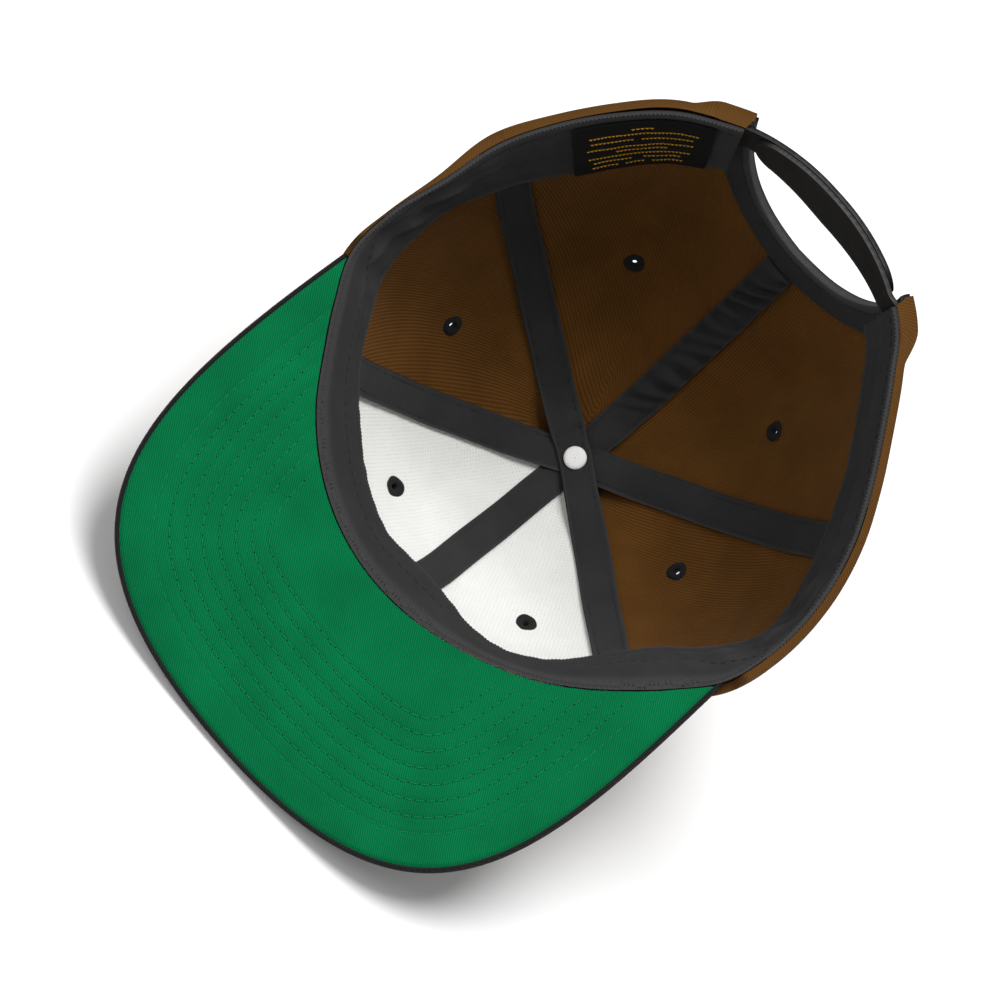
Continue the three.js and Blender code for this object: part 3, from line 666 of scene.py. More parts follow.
def cloth(name, dark, light, wear_and_shade_colour, pitch, turn, rib_depth, fuzz_depth, roughness=0.92, cross=0.35):
    """Twill or woven cloth: ribs broken by cross threads, fuzz, uneven dye, and an edge colour that
    the wear and shade value mixes in: wear on most cloths, painted shade along the crown cloth's hem.
    """
    material, tree, shader = new_material(name, roughness, 0.06, 0.02)
    place, wear_and_shade = flat_place(tree)
    rib = ribs(tree, place, turn, pitch)
    crossing = to_range(tree, ribs(tree, place, turn + 62, pitch * 0.8, 0.9), 0, 1, 1 - cross, 1)
    weave = math_node(tree, "MULTIPLY", rib, crossing)
    fuzz = noise(tree, place, 2.4, 4.0, 0.65)
    blotch = noise(tree, place, 0.05, 3.0, 0.5)
    shade = to_range(tree, weave, 0.15, 0.85, 0, 1)
    base = mix_colours(tree, shade, colour(*dark), colour(*light))
    uneven = to_range(tree, blotch, 0.3, 0.7, 0.86, 1.1)
    grain = to_range(tree, fuzz, 0.3, 0.7, 0.86, 1.12)
    both = math_node(tree, "MULTIPLY", uneven, grain)
    tone = node(tree, "ShaderNodeCombineColor", {0: both, 1: both, 2: both})
    base = mix_colours(tree, 1.0, base, tone.outputs[0], "MULTIPLY")
    # Edge colour mixed in: wear, and on the crown panels painted shade along the hem
    rubbed_and_shaded = math_node(tree, "MULTIPLY", wear_and_shade, to_range(tree, fuzz, 0.35, 0.65, 0.4, 1.0))
    base = mix_colours(tree, rubbed_and_shaded, base, colour(*wear_and_shade_colour))
    tree.links.new(base, shader.inputs["Base Color"])
    low = add_bump(tree, shader, fuzz, fuzz_depth, 0.6)
    add_bump(tree, shader, weave, rib_depth, 0.9, low)
    return material


# The crown twill's edge colour is darker: painted shade along the hem, and darker along the seams
brown_cloth = cloth("crown twill", (88, 57, 22), (107, 70, 30), (86, 58, 26), 1.0, 27, 0.13, 0.1, cross=0.15)
black_tape = cloth("woven tape", (46, 46, 47), (58, 58, 59), (84, 84, 85), 0.42, 90, 0.06, 0.06)
band_cloth = cloth("sweatband twill", (42, 42, 43), (56, 56, 57), (90, 88, 87), 0.5, 35, 0.07, 0.08)
label_cloth = cloth("label satin", (10, 10, 10), (20, 20, 20), (36, 36, 36), 0.35, 0, 0.05, 0.03, 0.7)
green_cloth = cloth("under visor twill", (0, 99, 57), (0, 123, 71), (12, 136, 87), 0.7, 38, 0.14, 0.07)
black_cloth = cloth("visor twill", (14, 14, 14), (34, 34, 34), (54, 54, 54), 0.82, 48, 0.2, 0.08)


def thread(name, dark, light, wear_and_shade_colour, roughness):
    return cloth(name, dark, light, wear_and_shade_colour, 0.3, 30, 0.05, 0.02, roughness)


green_thread = thread("green thread", (0, 104, 62), (20, 150, 96), (40, 160, 110), 0.7)
brown_thread = thread("brown thread", (60, 38, 16), (100, 68, 34), (120, 84, 46), 0.7)
dark_thread = thread("dark thread", (30, 30, 31), (62, 62, 63), (84, 84, 84), 0.75)
tape_thread = thread("tape thread", (48, 48, 49), (62, 62, 63), (76, 76, 76), 0.85)
eyelet_thread = thread("eyelet thread", (34, 34, 35), (48, 48, 49), (60, 60, 60), 0.85)
gold_thread = thread("gold thread", (190, 134, 16), (250, 190, 50), (250, 210, 110), 0.55)
# Painted shade: dark green for the shade inside the holes that the visor's stitches go through
needle_hole_shade = cloth("needle hole shade", (0, 44, 24), (0, 60, 34), (0, 60, 34), 0.4, 20, 0.02, 0.02, 0.95)


def buckram_material():
    """White stiffening mesh: flat, matt, with fine pits where its threads cross."""
    material, tree, shader = new_material("buckram", 0.95, 0.1)
    place, _ = flat_place(tree)
    across = ribs(tree, place, 0, 1.15, 0.8)
    along = ribs(tree, place, 90, 1.15, 0.8)
    mesh = math_node(tree, "MULTIPLY", across, along)
    specks = noise(tree, place, 1.5, 3.0, 0.7)
    pits = math_node(tree, "MULTIPLY", to_range(tree, specks, 0.35, 0.6, 1, 0.2), mesh)
    sunk = to_range(tree, pits, 0.1, 0.8, 0, 1)
    base = mix_colours(tree, sunk, colour(237, 237, 234), colour(213, 214, 211))
    cloud = to_range(tree, noise(tree, place, 0.06, 2.0), 0.35, 0.7, 0, 0.5)
    base = mix_colours(tree, cloud, base, colour(225, 225, 222))
    tree.links.new(base, shader.inputs["Base Color"])
    add_bump(tree, shader, pits, 0.14, 0.8).invert = True
    return material


def plastic_material():
    """Black moulded plastic: satin, faintly grained, paler where its edges are scuffed."""
    material, tree, shader = new_material("strap plastic", 0.55, 0.28)
    place, wear_and_shade = flat_place(tree)
    grain = noise(tree, place, 3.0, 3.0, 0.6)
    cloud = noise(tree, place, 0.12, 3.0, 0.6)
    shade = to_range(tree, cloud, 0.3, 0.7, 0, 1)
    base = mix_colours(tree, shade, colour(17, 17, 17), colour(24, 24, 24))
    base = mix_colours(tree, wear_and_shade, base, colour(50, 50, 50))
    tree.links.new(base, shader.inputs["Base Color"])
    rough = to_range(tree, cloud, 0.3, 0.7, 0.5, 0.64)
    tree.links.new(rough, shader.inputs["Roughness"])
    add_bump(tree, shader, grain, 0.03, 0.5)
    return material


def rivet_material():
    """White painted metal, rubbed to grey in faint scratches."""
    material, tree, shader = new_material("rivet", 0.5, 0.4)
    place, _ = flat_place(tree)
    scratch = noise(tree, place, 0.9, 5.0, 0.75)
    rubbed_and_shaded = to_range(tree, scratch, 0.5, 0.66, 0, 1)
    base = mix_colours(tree, rubbed_and_shaded, colour(255, 255, 254), colour(246, 246, 243))
    tree.links.new(base, shader.inputs["Base Color"])
    add_bump(tree, shader, scratch, 0.06, 0.5)
    return material


white_mesh = buckram_material()
black_plastic = plastic_material()
white_metal = rivet_material()


# Stitches
def along_path(points):
    steps = np.linalg.norm(np.diff(points, axis=0), axis=1)
    return np.concatenate([[0], np.cumsum(steps)])


def sample(points, lengths, at):
    return np.stack([np.interp(at, lengths, points[:, k]) for k in range(3)], axis=-1)


def stitch_rows(name, rows, material, slot, length, space, radius):
    """One mesh of stitches: rows is a list of (points, normals) along each seam."""
    rings, sides = 5, 6
    shape = np.array([0.35, 0.85, 1, 0.85, 0.35])
    lift = np.array([-0.55, 0.35, 0.6, 0.35, -0.55])
    turn = np.arange(sides) * 2 * np.pi / sides
    parts = []
    for points, normals in rows:
        lengths = along_path(points)
        total = lengths[-1]
        count = int((total - space) // (length + space))
        if count < 1:
            continue
        step = total / count
        begins = (np.arange(count) + 0.5) * step - (step - space) / 2
        at = begins[:, None] + np.linspace(0, step - space, rings)[None, :]
        centre = sample(points, lengths, at.ravel()).reshape(count, rings, 3)
        normal = unit(sample(normals, lengths, at.ravel())).reshape(count, rings, 3)
        tangent = unit(np.gradient(centre, axis=1))
        side = unit(np.cross(tangent, normal))
        centre = centre + normal * (radius * lift)[None, :, None]
        r = (radius * shape)[None, :, None, None]
        ring = (
            centre[:, :, None, :]
            + r * 1.25 * np.cos(turn)[None, None, :, None] * side[:, :, None, :]
            + r * np.sin(turn)[None, None, :, None] * normal[:, :, None, :]
        )
        for k in range(count):
            u = np.concatenate([np.repeat(at[k], sides), at[k][[0, -1]]])
            v = np.concatenate([np.tile(turn * radius, rings), [0, 0]])
            parts.append((*ring_grid(ring[k]), stack(u, v, 0)))
    make(name, *joined_parts(parts), material, slot=slot)


# Crown panels
def panel_place(azimuths, t, middle):
    """Place on the cloth in millimetres: across from the panel's middle line, and up from the rim."""
    across = np.radians(around(azimuths - middle)) * profile(azimuths, t)[0] * plan_reach(azimuths)
    shares = np.linspace(0, 1, 160)
    columns, fine = np.meshgrid(azimuths[:, 0], shares, indexing="ij")
    out, height = profile(columns, fine)
    steps = np.hypot(np.diff(out * plan_reach(columns), axis=1), np.diff(height, axis=1))
    lengths = np.pad(np.cumsum(steps, axis=1), ((0, 0), (1, 0)))
    up = np.stack([np.interp(row, shares, total) for row, total in zip(t, lengths)])
    return across, up


def grid_of(azimuths, rows):
    start = at_height(azimuths, hem_level(azimuths))
    end = at_plan_distance(azimuths, np.full(len(azimuths), APEX_HOLE))
    share = np.linspace(0, 1, rows)
    t = mix(start[:, None], end[:, None], share[None, :])
    return np.broadcast_to(azimuths[:, None], t.shape).copy(), t


def eyelet_frame(place):
    azimuth = np.array([float(place["azimuth"])])
    t = at_share(azimuth, np.array([place["out"]]))
    centre = wall(azimuth, t, 0.0, soft_relief(azimuth, t))[0]
    beside = wall(azimuth, t + 0.004)[0] - wall(azimuth, t - 0.004)[0]
    across = wall(azimuth + 0.4, t)[0] - wall(azimuth - 0.4, t)[0]
    axis = unit(np.cross(across, beside))
    return centre, axis, unit(across)


def outside_eyelets(centres_outer, centres_inner):
    keep = np.ones(centres_outer.shape[:2], bool)
    for place in EYELETS:
        centre, axis, _ = eyelet_frame(place)
        for centres in (centres_inner, centres_outer):
            reach = centres - centre
            along = reach @ axis
            beside = np.linalg.norm(reach - along[..., None] * axis, axis=-1)
            keep &= (beside >= EYELET_CUT_RADIUS) | (np.abs(along) >= EYELET_CUT_REACH)
    return keep


def cell_middles(grid):
    return (grid[:-1, :-1] + grid[1:, :-1] + grid[1:, 1:] + grid[:-1, 1:]) / 4


def seam_distance(azimuths, t, first, last):
    out, _ = profile(azimuths, t)
    reach = out * plan_reach(azimuths)
    near = np.minimum(np.abs(azimuths - first), np.abs(azimuths - last))
    return np.radians(near) * reach


def soft_relief(azimuths, t):
    """Slow waves that keep the cloth from lying perfectly smooth."""
    a = np.radians(azimuths)
    wave = np.sin(5 * a + 9 * t + 0.4) * np.sin(3.1 * a - 7 * t + 1.3)
    wave += 0.6 * np.sin(11 * a - 13 * t) * np.sin(8 * t + 2 * a + 0.7)
    return 0.28 * wave * np.sin(np.pi * np.clip(t, 0, 1)) ** 0.5


def puckers(azimuths, t, distance, up):
    """Small gathers that run away from a sewn seam."""
    fade = np.exp(-((distance - TOPSTITCH_OFFSET) / 3.4) ** 2)
    return 0.12 * np.sin(up / 4.3 * 2 * np.pi + 1.7 * np.sin(up / 17)) * fade


def seam_shift(azimuths, first, last):
    """Moves a panel's two edges clear of their seams."""
    plan = unit(wall_rim_point(azimuths) - APEX)
    side = stack(-plan[..., 1], plan[..., 0], np.zeros(plan.shape[:-1]))
    inward = np.where(azimuths == first, 1.0, 0.0) - np.where(azimuths == last, 1.0, 0.0)
    return side * (inward * np.sign(last - first) * SEAM_GAP / 2)[..., None]


def tab_fill(azimuths, height):
    """Rolled hem that closes the room between cloth and sweatband beside the back opening."""
    a = np.abs(around(azimuths))
    clear_of_arch = 1 - ease(a, TAB_AZIMUTH - 0.9, TAB_AZIMUTH - 0.2)
    lip = 1 - ease(height, 0.05, 0.9)
    before_strap = (a < STRAP_ROOT - 0.3) * (1 - ease(height, 6, 18))
    return TAB_ROOM * near_tab(azimuths) * clear_of_arch * np.maximum(lip, before_strap)


def crown_panel(name, azimuths, rows=118):
    first, last = azimuths[0], azimuths[-1]
    grid_azimuth, t = grid_of(azimuths, rows)
    across, up = panel_place(grid_azimuth, t, (first + last) / 2)
    distance = seam_distance(grid_azimuth, t, first, last)
    relief = soft_relief(grid_azimuth, t)
    height = profile(grid_azimuth, t)[1]
    near_rim = 1 - ease(height, 15, 60)
    drawn_in = np.exp(-(((grid_azimuth - CORNER_DRAW_AZIMUTH) / 12) ** 2)) * near_rim
    padded = np.exp(-(((grid_azimuth - HEM_PADDING_AZIMUTH) / 9) ** 2)) * near_rim
    thick = mix(HEM_THICKNESS, CLOTH_THICKNESS, ease(height, HEM_HEIGHT * 0.6, HEM_HEIGHT * 1.6))
    thick = thick - CORNER_DRAW * drawn_in + HEM_PADDING * padded
    groove = -SEAM_GROOVE_DEPTH * np.exp(-((distance / 1.3) ** 2))
    groove -= 0.22 * np.exp(-(((distance - TOPSTITCH_OFFSET) / 0.7) ** 2))
    groove += puckers(grid_azimuth, t, distance, up)
    groove *= ease(height, 3, 12)
    shift = seam_shift(grid_azimuth, first, last)
    outer = wall(grid_azimuth, t, thick + groove, relief) + shift
    inner = wall(grid_azimuth, t, -tab_fill(grid_azimuth, height), relief) + shift
    keep = outside_eyelets(cell_middles(outer), cell_middles(inner))
    # Painted shade: the cloth is darkened towards its edge colour along the hem, and a little along the
    # seams
    from_hem = up - up[:, :1]
    edge = 0.35 * np.exp(-((distance / 0.8) ** 2)) + 0.8 * np.exp(-((from_hem / 1.6) ** 2))
    sheet = stack(across, up, np.clip(edge, 0, 1))
    inner_sheet = sheet - [0, 2 * HEM_THICKNESS, 0]
    make_slab(name, outer, inner, sheet, brown_cloth, "crown_cloth", 0.35, keep, inner_sheet)


def even(first, last, count):
    return np.linspace(first, last, count)


ARCH_STEPS = 46
front_columns = even(0, FRONT_SEAM, 82)
side_columns = np.concatenate(
    [
        even(FRONT_SEAM, VISOR_CORNER + 1.5, 32),
        even(VISOR_CORNER + 2, VISOR_CORNER + 5, 10),
        even(VISOR_CORNER + 5.6, REAR_SEAM, 56),
    ]
)
arch_columns = 180 - ARCH_HALF * arch_across(np.arange(1, ARCH_STEPS + 1), ARCH_STEPS)
arch_columns[-1] = 180
back_columns = np.concatenate([even(REAR_SEAM, TAB_AZIMUTH - 0.4, 78), [TAB_AZIMUTH], arch_columns])

for word, sign in (("left", 1), ("right", -1)):
    crown_panel(f"crown_panel_front_{word}", sign * front_columns)
    crown_panel(f"crown_panel_side_{word}", sign * side_columns)
    crown_panel(f"crown_panel_back_{word}", sign * back_columns, 104)


# White stiffening behind the front panels
def buckram(name, azimuths, rows=100):
    first, last = azimuths[0], azimuths[-1]
    grid_azimuth, t = grid_of(azimuths, rows)
    hem_rows = 7
    grid_azimuth, t = grid_azimuth[:, hem_rows:], t[:, hem_rows:]
    across, up = panel_place(grid_azimuth, t, (first + last) / 2)
    relief = soft_relief(grid_azimuth, t)
    shift = seam_shift(grid_azimuth, first, last)
    outer = wall(grid_azimuth, t, -GAP, relief) + shift
    inner = wall(grid_azimuth, t, -GAP - BUCKRAM_THICKNESS, relief) + shift
    keep = outside_eyelets(cell_middles(outer), cell_middles(inner))
    make_slab(name, outer, inner, stack(across, up, 0), white_mesh, "buckram", 0.2, keep)


for word, sign in (("left", 1), ("right", -1)):
    buckram(f"buckram_front_{word}", sign * front_columns)


# Seam tapes
def tape_arm(azimuth, level, start_height, count):
    start = at_height(float(azimuth), np.array(float(start_height)))
    end = at_plan_distance(float(azimuth), np.array(APEX_HOLE))
    t = mix(start, end, np.linspace(0, 1, count))
    in_front = abs(azimuth) <= FRONT_SEAM
    on_buckram = 2 * GAP + BUCKRAM_THICKNESS
    lying = (on_buckram if in_front else GAP) + FACET_SAG * 0.7
    stacked = on_buckram + level * (TAPE_THICKNESS + GAP)
    along = unit(wall_rim_point(azimuth) - APEX)
    distance = profile(np.full(count, float(azimuth)), t)[0] * plan_reach(azimuth)
    down = ease(distance, TAPE_RAMP_START, TAPE_RAMP_START + TAPE_RAMP_LENGTH)
    return {
        "azimuth": np.full(count, float(azimuth)),
        "t": t,
        "distance": distance,
        "along": np.broadcast_to(along, (count, 2)).copy(),
        "offset": mix(stacked, lying, down),
    }


def azimuth_towards(direction, guess):
    def turn_to(azimuth):
        along = wall_rim_point(azimuth) - APEX
        cross = direction[..., 0] * along[..., 1] - direction[..., 1] * along[..., 0]
        return np.arctan2(cross, (direction * along).sum(axis=-1))

    return solve(turn_to, np.zeros(guess.shape), guess - 89, guess + 89)


def tape_point(arm, sideways, depth):
    """Points of a tape beside its middle line, one for each station and sideways place."""
    azimuth = arm["azimuth"][:, None] + 0 * sideways
    t = arm["t"][:, None] + 0 * sideways
    distance = arm["distance"][:, None] + 0 * sideways
    along = arm["along"][:, None, :] + 0 * sideways[..., None]
    perp = np.stack([-along[..., 1], along[..., 0]], axis=-1)
    direction = along * distance[..., None] + perp * sideways[..., None]
    near = azimuth_towards(direction, azimuth)
    top = wall(near, at_plan_distance(near, np.linalg.norm(direction, axis=-1)), -depth)
    normal = wall_normal(azimuth, t)
    side = np.concatenate([perp, np.zeros(perp.shape[:-1] + (1,))], axis=-1)
    here = wall(azimuth, t)
    turn = np.degrees(sideways / np.maximum(distance, TAPE_WIDTH))
    lift = (wall(azimuth + turn, t) - here) * normal
    follow = lift.sum(axis=-1) - sideways * (side * normal).sum(axis=-1)
    beside = here + side * sideways[..., None] + normal * (follow - depth)[..., None]
    blend = ease(distance, 2 * TAPE_WIDTH, 4 * TAPE_WIDTH)[..., None]
    return mix(top, beside, blend)


def joined_arms(first, second):
    joined = {}
    for key in first:
        joined[key] = np.concatenate([first[key], second[key][::-1]])
    turned = np.concatenate([np.ones(len(first["t"])), -np.ones(len(second["t"]))])
    return joined, turned


def tape_wrinkles(length, across, seed):
    """Soft gathers and twists of a tape: height over its smooth face."""
    slow = np.sin(length / 23 + seed) * np.sin(length / 7.3 + 2.1 * seed + 0.22 * across)
    fast = np.sin(length / 2.6 + 0.5 * across + seed) * np.maximum(0, np.sin(length / 19 + 1.3 * seed))
    return 0.16 * slow + 0.09 * fast


def seam_tape(name, first_azimuth, second_azimuth, level, first_start, second_start, seed, gathers):
    """One tape from rim to rim over the apex. gathers are rows of where they start and stop, from
    the apex along the second arm, and their height."""
    count = 120
    arm, turned = joined_arms(
        tape_arm(first_azimuth, level, first_start, count),
        tape_arm(second_azimuth, level, second_start, count),
    )
    rows = 16
    share = np.linspace(-0.5, 0.5, rows)
    sideways = turned[:, None] * TAPE_WIDTH * share[None, :]
    middle = tape_point(arm, np.zeros((2 * count, 1)), arm["offset"][:, None])[:, 0]
    length = along_path(middle)[:, None] + 0 * sideways
    across = TAPE_WIDTH * share[None, :] + 0 * length
    wavy = 0.35 * np.sin(length / 15 + seed) + 0.2 * np.sin(length / 6.1 + 2 * seed)
    sideways = sideways + turned[:, None] * wavy * (np.abs(share) ** 2)[None, :] * 2
    crown = 0.35 * (1 - (2 * share[None, :]) ** 2)
    stitched = -0.08 * np.exp(-(((np.abs(across) - (TAPE_WIDTH / 2 - TAPE_STITCH_INSET)) / 0.6) ** 2))
    relief = crown + stitched + tape_wrinkles(length, across, seed)
    from_apex = length - length[count - 1]
    for start, stop, height in gathers:
        zone = ease(from_apex, start, start + 14) * (1 - ease(from_apex, stop - 8, stop))
        folds = np.sin(length / 1.15 + 0.5 * across + 1.3 * np.sin(0.35 * across + length / 5.3))
        uneven = 0.6 + 0.4 * np.sin(length / 8.7 + 0.3 * across + seed)
        relief = relief + zone * height * uneven * folds * (1 - 0.35 * (2 * share[None, :]) ** 2)
    depth = arm["offset"][:, None] + 0 * sideways
    outer = tape_point(arm, sideways, depth)
    inner = tape_point(arm, sideways, depth + TAPE_THICKNESS + relief)
    edge = 0.3 * np.exp(-(((TAPE_WIDTH / 2 - np.abs(across)) / 0.5) ** 2))
    make_slab(name, outer, inner, stack(across, length, edge), black_tape, "seam_tape", 0.25)
    rows_of_stitches = []
    for side in (-1, 1):
        line = turned[:, None] * side * (TAPE_WIDTH / 2 - TAPE_STITCH_INSET)
        at = arm["offset"][:, None] + TAPE_THICKNESS + 0.12
        points = tape_point(arm, line, at + 0 * line)[:, 0]
        normals = -wall_normal(arm["azimuth"], arm["t"])
        rows_of_stitches.append((points, normals))
    return rows_of_stitches


TAPE_START = BAND_HEIGHT / 2
TAPE_START_AT_ARCH = ARCH_HEIGHT + BINDING_WIDTH - 0.6
TAPES = [
    # name, azimuths of its two ends, layer, heights where it starts, seed, gathers
    ("seam_tape_c", 0, 180, 0, TAPE_START, TAPE_START_AT_ARCH, 0.4, [(18, 400, 0.8), (36, 400, 0.7)]),
    ("seam_tape_b", FRONT_SEAM, -REAR_SEAM, 1, TAPE_START, TAPE_START, 1.9, [(-100, -20, 0.2)]),
    ("seam_tape_a", -FRONT_SEAM, REAR_SEAM, 2, TAPE_START, TAPE_START, 3.3, [(0, 48, 0.4)]),
]
tape_rows = [row for tape in TAPES for row in seam_tape(*tape)]
stitch_rows("seam_tape_stitches", tape_rows, tape_thread, "seam_tape", *TAPE_STITCH)


# Sweatband
def rim_level(azimuth):
    plan = rim_point(azimuth)
    in_front = ease(VISOR_CORNER - np.abs(around(azimuth)), 0, 8)
    return in_front * visor_height(plan[..., 0], plan[..., 1])


def rim_shift(azimuth):
    """How far the band's lower edge and the visor's inner edge lie inside the rim's own curve."""
    return 2.0 * np.exp(-(((azimuth + 19) / 17) ** 2))


def band_point(azimuth, up, inward=0.0):
    low = rim_level(azimuth)
    lean = math.atan2(BAND_INSET, BAND_HEIGHT)
    fold = mix(0.85, 0.5, ease(VISOR_CORNER + 12 - np.abs(around(azimuth)), 0, 20))
    inset = rim_shift(azimuth) * (1 - up) + look_up(BAND_TOP, 1, azimuth) * up**fold
    inset = inset + inward * math.cos(lean)
    plan = rim_point(azimuth, -inset)
    height = mix(low, BAND_HEIGHT, up) + inward * math.sin(lean)
    return np.concatenate([plan, height[..., None]], axis=-1)


def stitch_level(azimuth):
    """Share of the band's height where it is sewn: near the rim, and higher up over the visor."""
    return mix(0.13, 0.44, ease(VISOR_CORNER + 9 - np.abs(azimuth), 0, 14))


def band_relief(azimuth, up):
    """Long creases that run round the band, and crumples where it turns off the visor's corners."""
    a = np.radians(azimuth)
    corner = np.exp(-(((np.abs(azimuth) - 84) / 18) ** 2))
    strength = 0.5 + 0.7 * corner
    drift = 0.05 * np.sin(3 * a + 0.6) + 0.03 * np.sin(7 * a + 1.1)
    ridge = np.exp(-(((up - 0.42 - drift) / 0.06) ** 2))
    valley = np.exp(-(((up - 0.56 + drift) / 0.08) ** 2))
    second = np.exp(-(((up - 0.74 - 1.4 * drift) / 0.05) ** 2))
    ripple = np.sin(46 * a + 8 * up) * np.sin(9 * a + 0.3) + 0.6 * np.sin(83 * a - 14 * up + 0.7)
    stitch_line = -0.35 * np.exp(-(((up - stitch_level(azimuth)) / 0.035) ** 2))
    folds = 0.55 * ridge - 0.4 * valley + 0.35 * second
    crumple = np.sin(17 * a + 6 * up + 2.2 * np.sin(6 * a)) * np.sin(27 * a - 8 * up + 1.0)
    crumple = 1.4 * corner * crumple * np.sin(np.pi * up)
    return strength * folds + crumple + 0.09 * ripple * (0.3 + up) + stitch_line


def sweatband():
    azimuths = even(-BAND_END, BAND_END, 760)
    ups = even(0, 1, 34)
    azimuth, up = np.meshgrid(azimuths, ups, indexing="ij")
    outer = band_point(azimuth, up, np.zeros(up.shape))
    inner = band_point(azimuth, up, BAND_THICKNESS + np.maximum(band_relief(azimuth, up), -0.7))
    length = np.radians(azimuth) * (RIM_HALF_LENGTH + RIM_HALF_WIDTH) / 2
    edge = 0.35 * np.exp(-((up / 0.05) ** 2)) + 0.25 * np.exp(-(((1 - up) / 0.05) ** 2))
    edge = edge + 0.2 * np.clip(band_relief(azimuth, up), 0, 1)
    sheet = stack(length, up * BAND_HEIGHT, np.clip(edge, 0, 1))
    make_slab("sweatband", outer, inner, sheet, band_cloth, "sweatband", 0.3)
    line = even(-BAND_END + 1, BAND_END - 1, 700)
    level = stitch_level(line)
    under = BAND_THICKNESS + band_relief(line, level)
    row = band_point(line, level, under + 0.05)
    ahead = band_point(line, level + 0.04, under)
    below = band_point(line, level - 0.04, under)
    along = np.gradient(row, axis=0)
    normals = unit(np.cross(along, ahead - below))
    middle = np.array([0, 0, BAND_HEIGHT])
    facing = np.sign(((middle - row) * normals).sum(axis=-1))
    rows = [(row, normals * facing[:, None])]
    stitch_rows("sweatband_stitches", rows, dark_thread, "sweatband", *BAND_STITCH)


sweatband()


def sweatband_label():
    half = math.degrees(LABEL_WIDTH / 2 / np.linalg.norm(rim_point(LABEL_AZIMUTH)))
    low = 1 - LABEL_HEIGHT / BAND_HEIGHT
    azimuths = LABEL_AZIMUTH + even(-half, half, 64)
    ups = even(low, 1, 36)
    azimuth, up = np.meshgrid(azimuths, ups, indexing="ij")
    under = BAND_THICKNESS + GAP + FACET_SAG

    def face(azimuth, up):
        return under + LABEL_THICKNESS + 0.1 * np.sin(azimuth * 0.9) * np.sin(up * 9)

    outer = band_point(azimuth, up, np.full(up.shape, under))
    inner = band_point(azimuth, up, face(azimuth, up))
    sheet = stack((azimuth - LABEL_AZIMUTH) / half * LABEL_WIDTH / 2, up * BAND_HEIGHT, 0)
    make_slab("sweatband_label", outer, inner, sheet, label_cloth, "label", 0.15)
    rows = []
    lines = [
        # share up the label, from and to as shares of its half width
        (0.13, [(-0.16, 0.16)]),
        (0.23, [(-0.76, 0.8)]),
        (0.35, [(-0.74, -0.1), (0.0, 0.74)]),
        (0.49, [(-0.8, 0.76)]),
        (0.58, [(-0.36, 0.4)]),
        (0.68, [(-0.78, 0.74)]),
        (0.78, [(-0.7, -0.1), (0.06, 0.62)]),
        (0.89, [(-0.72, -0.3), (-0.2, 0.1), (0.2, 0.66)]),
    ]
    for level, spans in lines:
        for start, stop in spans:
            at = LABEL_AZIMUTH + half * even(start, stop, 30)
            ups = np.full(at.shape, mix(low, 1, level))
            depth = face(at, ups) + 0.02
            row = band_point(at, ups, depth)
            normals = band_point(at, ups, depth + 1) - row
            rows.append((row, unit(normals)))
    stitch_rows("label_lines", rows, gold_thread, "label", *LABEL_STITCH)


sweatband_label()


# Binding round the back opening
def arch_stations(steps):
    k = np.arange(-steps, steps + 1)
    across = -np.sign(k) * arch_across(steps - np.abs(k), steps)
    azimuth = 180 - ARCH_HALF * across
    return azimuth, at_height(azimuth, np.maximum(arch_edge(across), HEM_THICKNESS / 2))


def beside_arch(azimuth, t, distance, outward):
    """Points of the wall at distances from the arch edge, measured square to the edge."""
    step = 0.01
    here = wall(azimuth, t)
    per_azimuth = wall(azimuth + 1, t) - here
    per_share = (wall(azimuth, t + step) - here) / step
    tangent = unit(np.gradient(here, axis=0))
    normal = wall_normal(azimuth, t)
    square = unit(np.cross(tangent, normal))
    back = np.array([180.0])
    middle = wall(back, at_height(back, np.array([ARCH_HEIGHT / 2])))[0]
    facing = np.sign((square * (here - middle)).sum(axis=-1))
    square = square * np.where(facing == 0, 1, facing)[:, None]
    aa = (per_azimuth * per_azimuth).sum(axis=-1)
    ab = (per_azimuth * per_share).sum(axis=-1)
    bb = (per_share * per_share).sum(axis=-1)
    a = (per_azimuth * square).sum(axis=-1)
    b = (per_share * square).sum(axis=-1)
    scale = distance / (aa * bb - ab * ab)[:, None]
    turn = (a * bb - b * ab)[:, None] * scale
    climb = (b * aa - a * ab)[:, None] * scale
    return wall(azimuth[:, None] + turn, np.clip(t[:, None] + climb, 0, 1), outward)


def arch_line(azimuth, t, distance, outward):
    """A line that runs along the arch at one distance from its edge."""
    column = np.ones((len(t), 1))
    return beside_arch(azimuth, t, distance * column, outward * column)[:, 0]


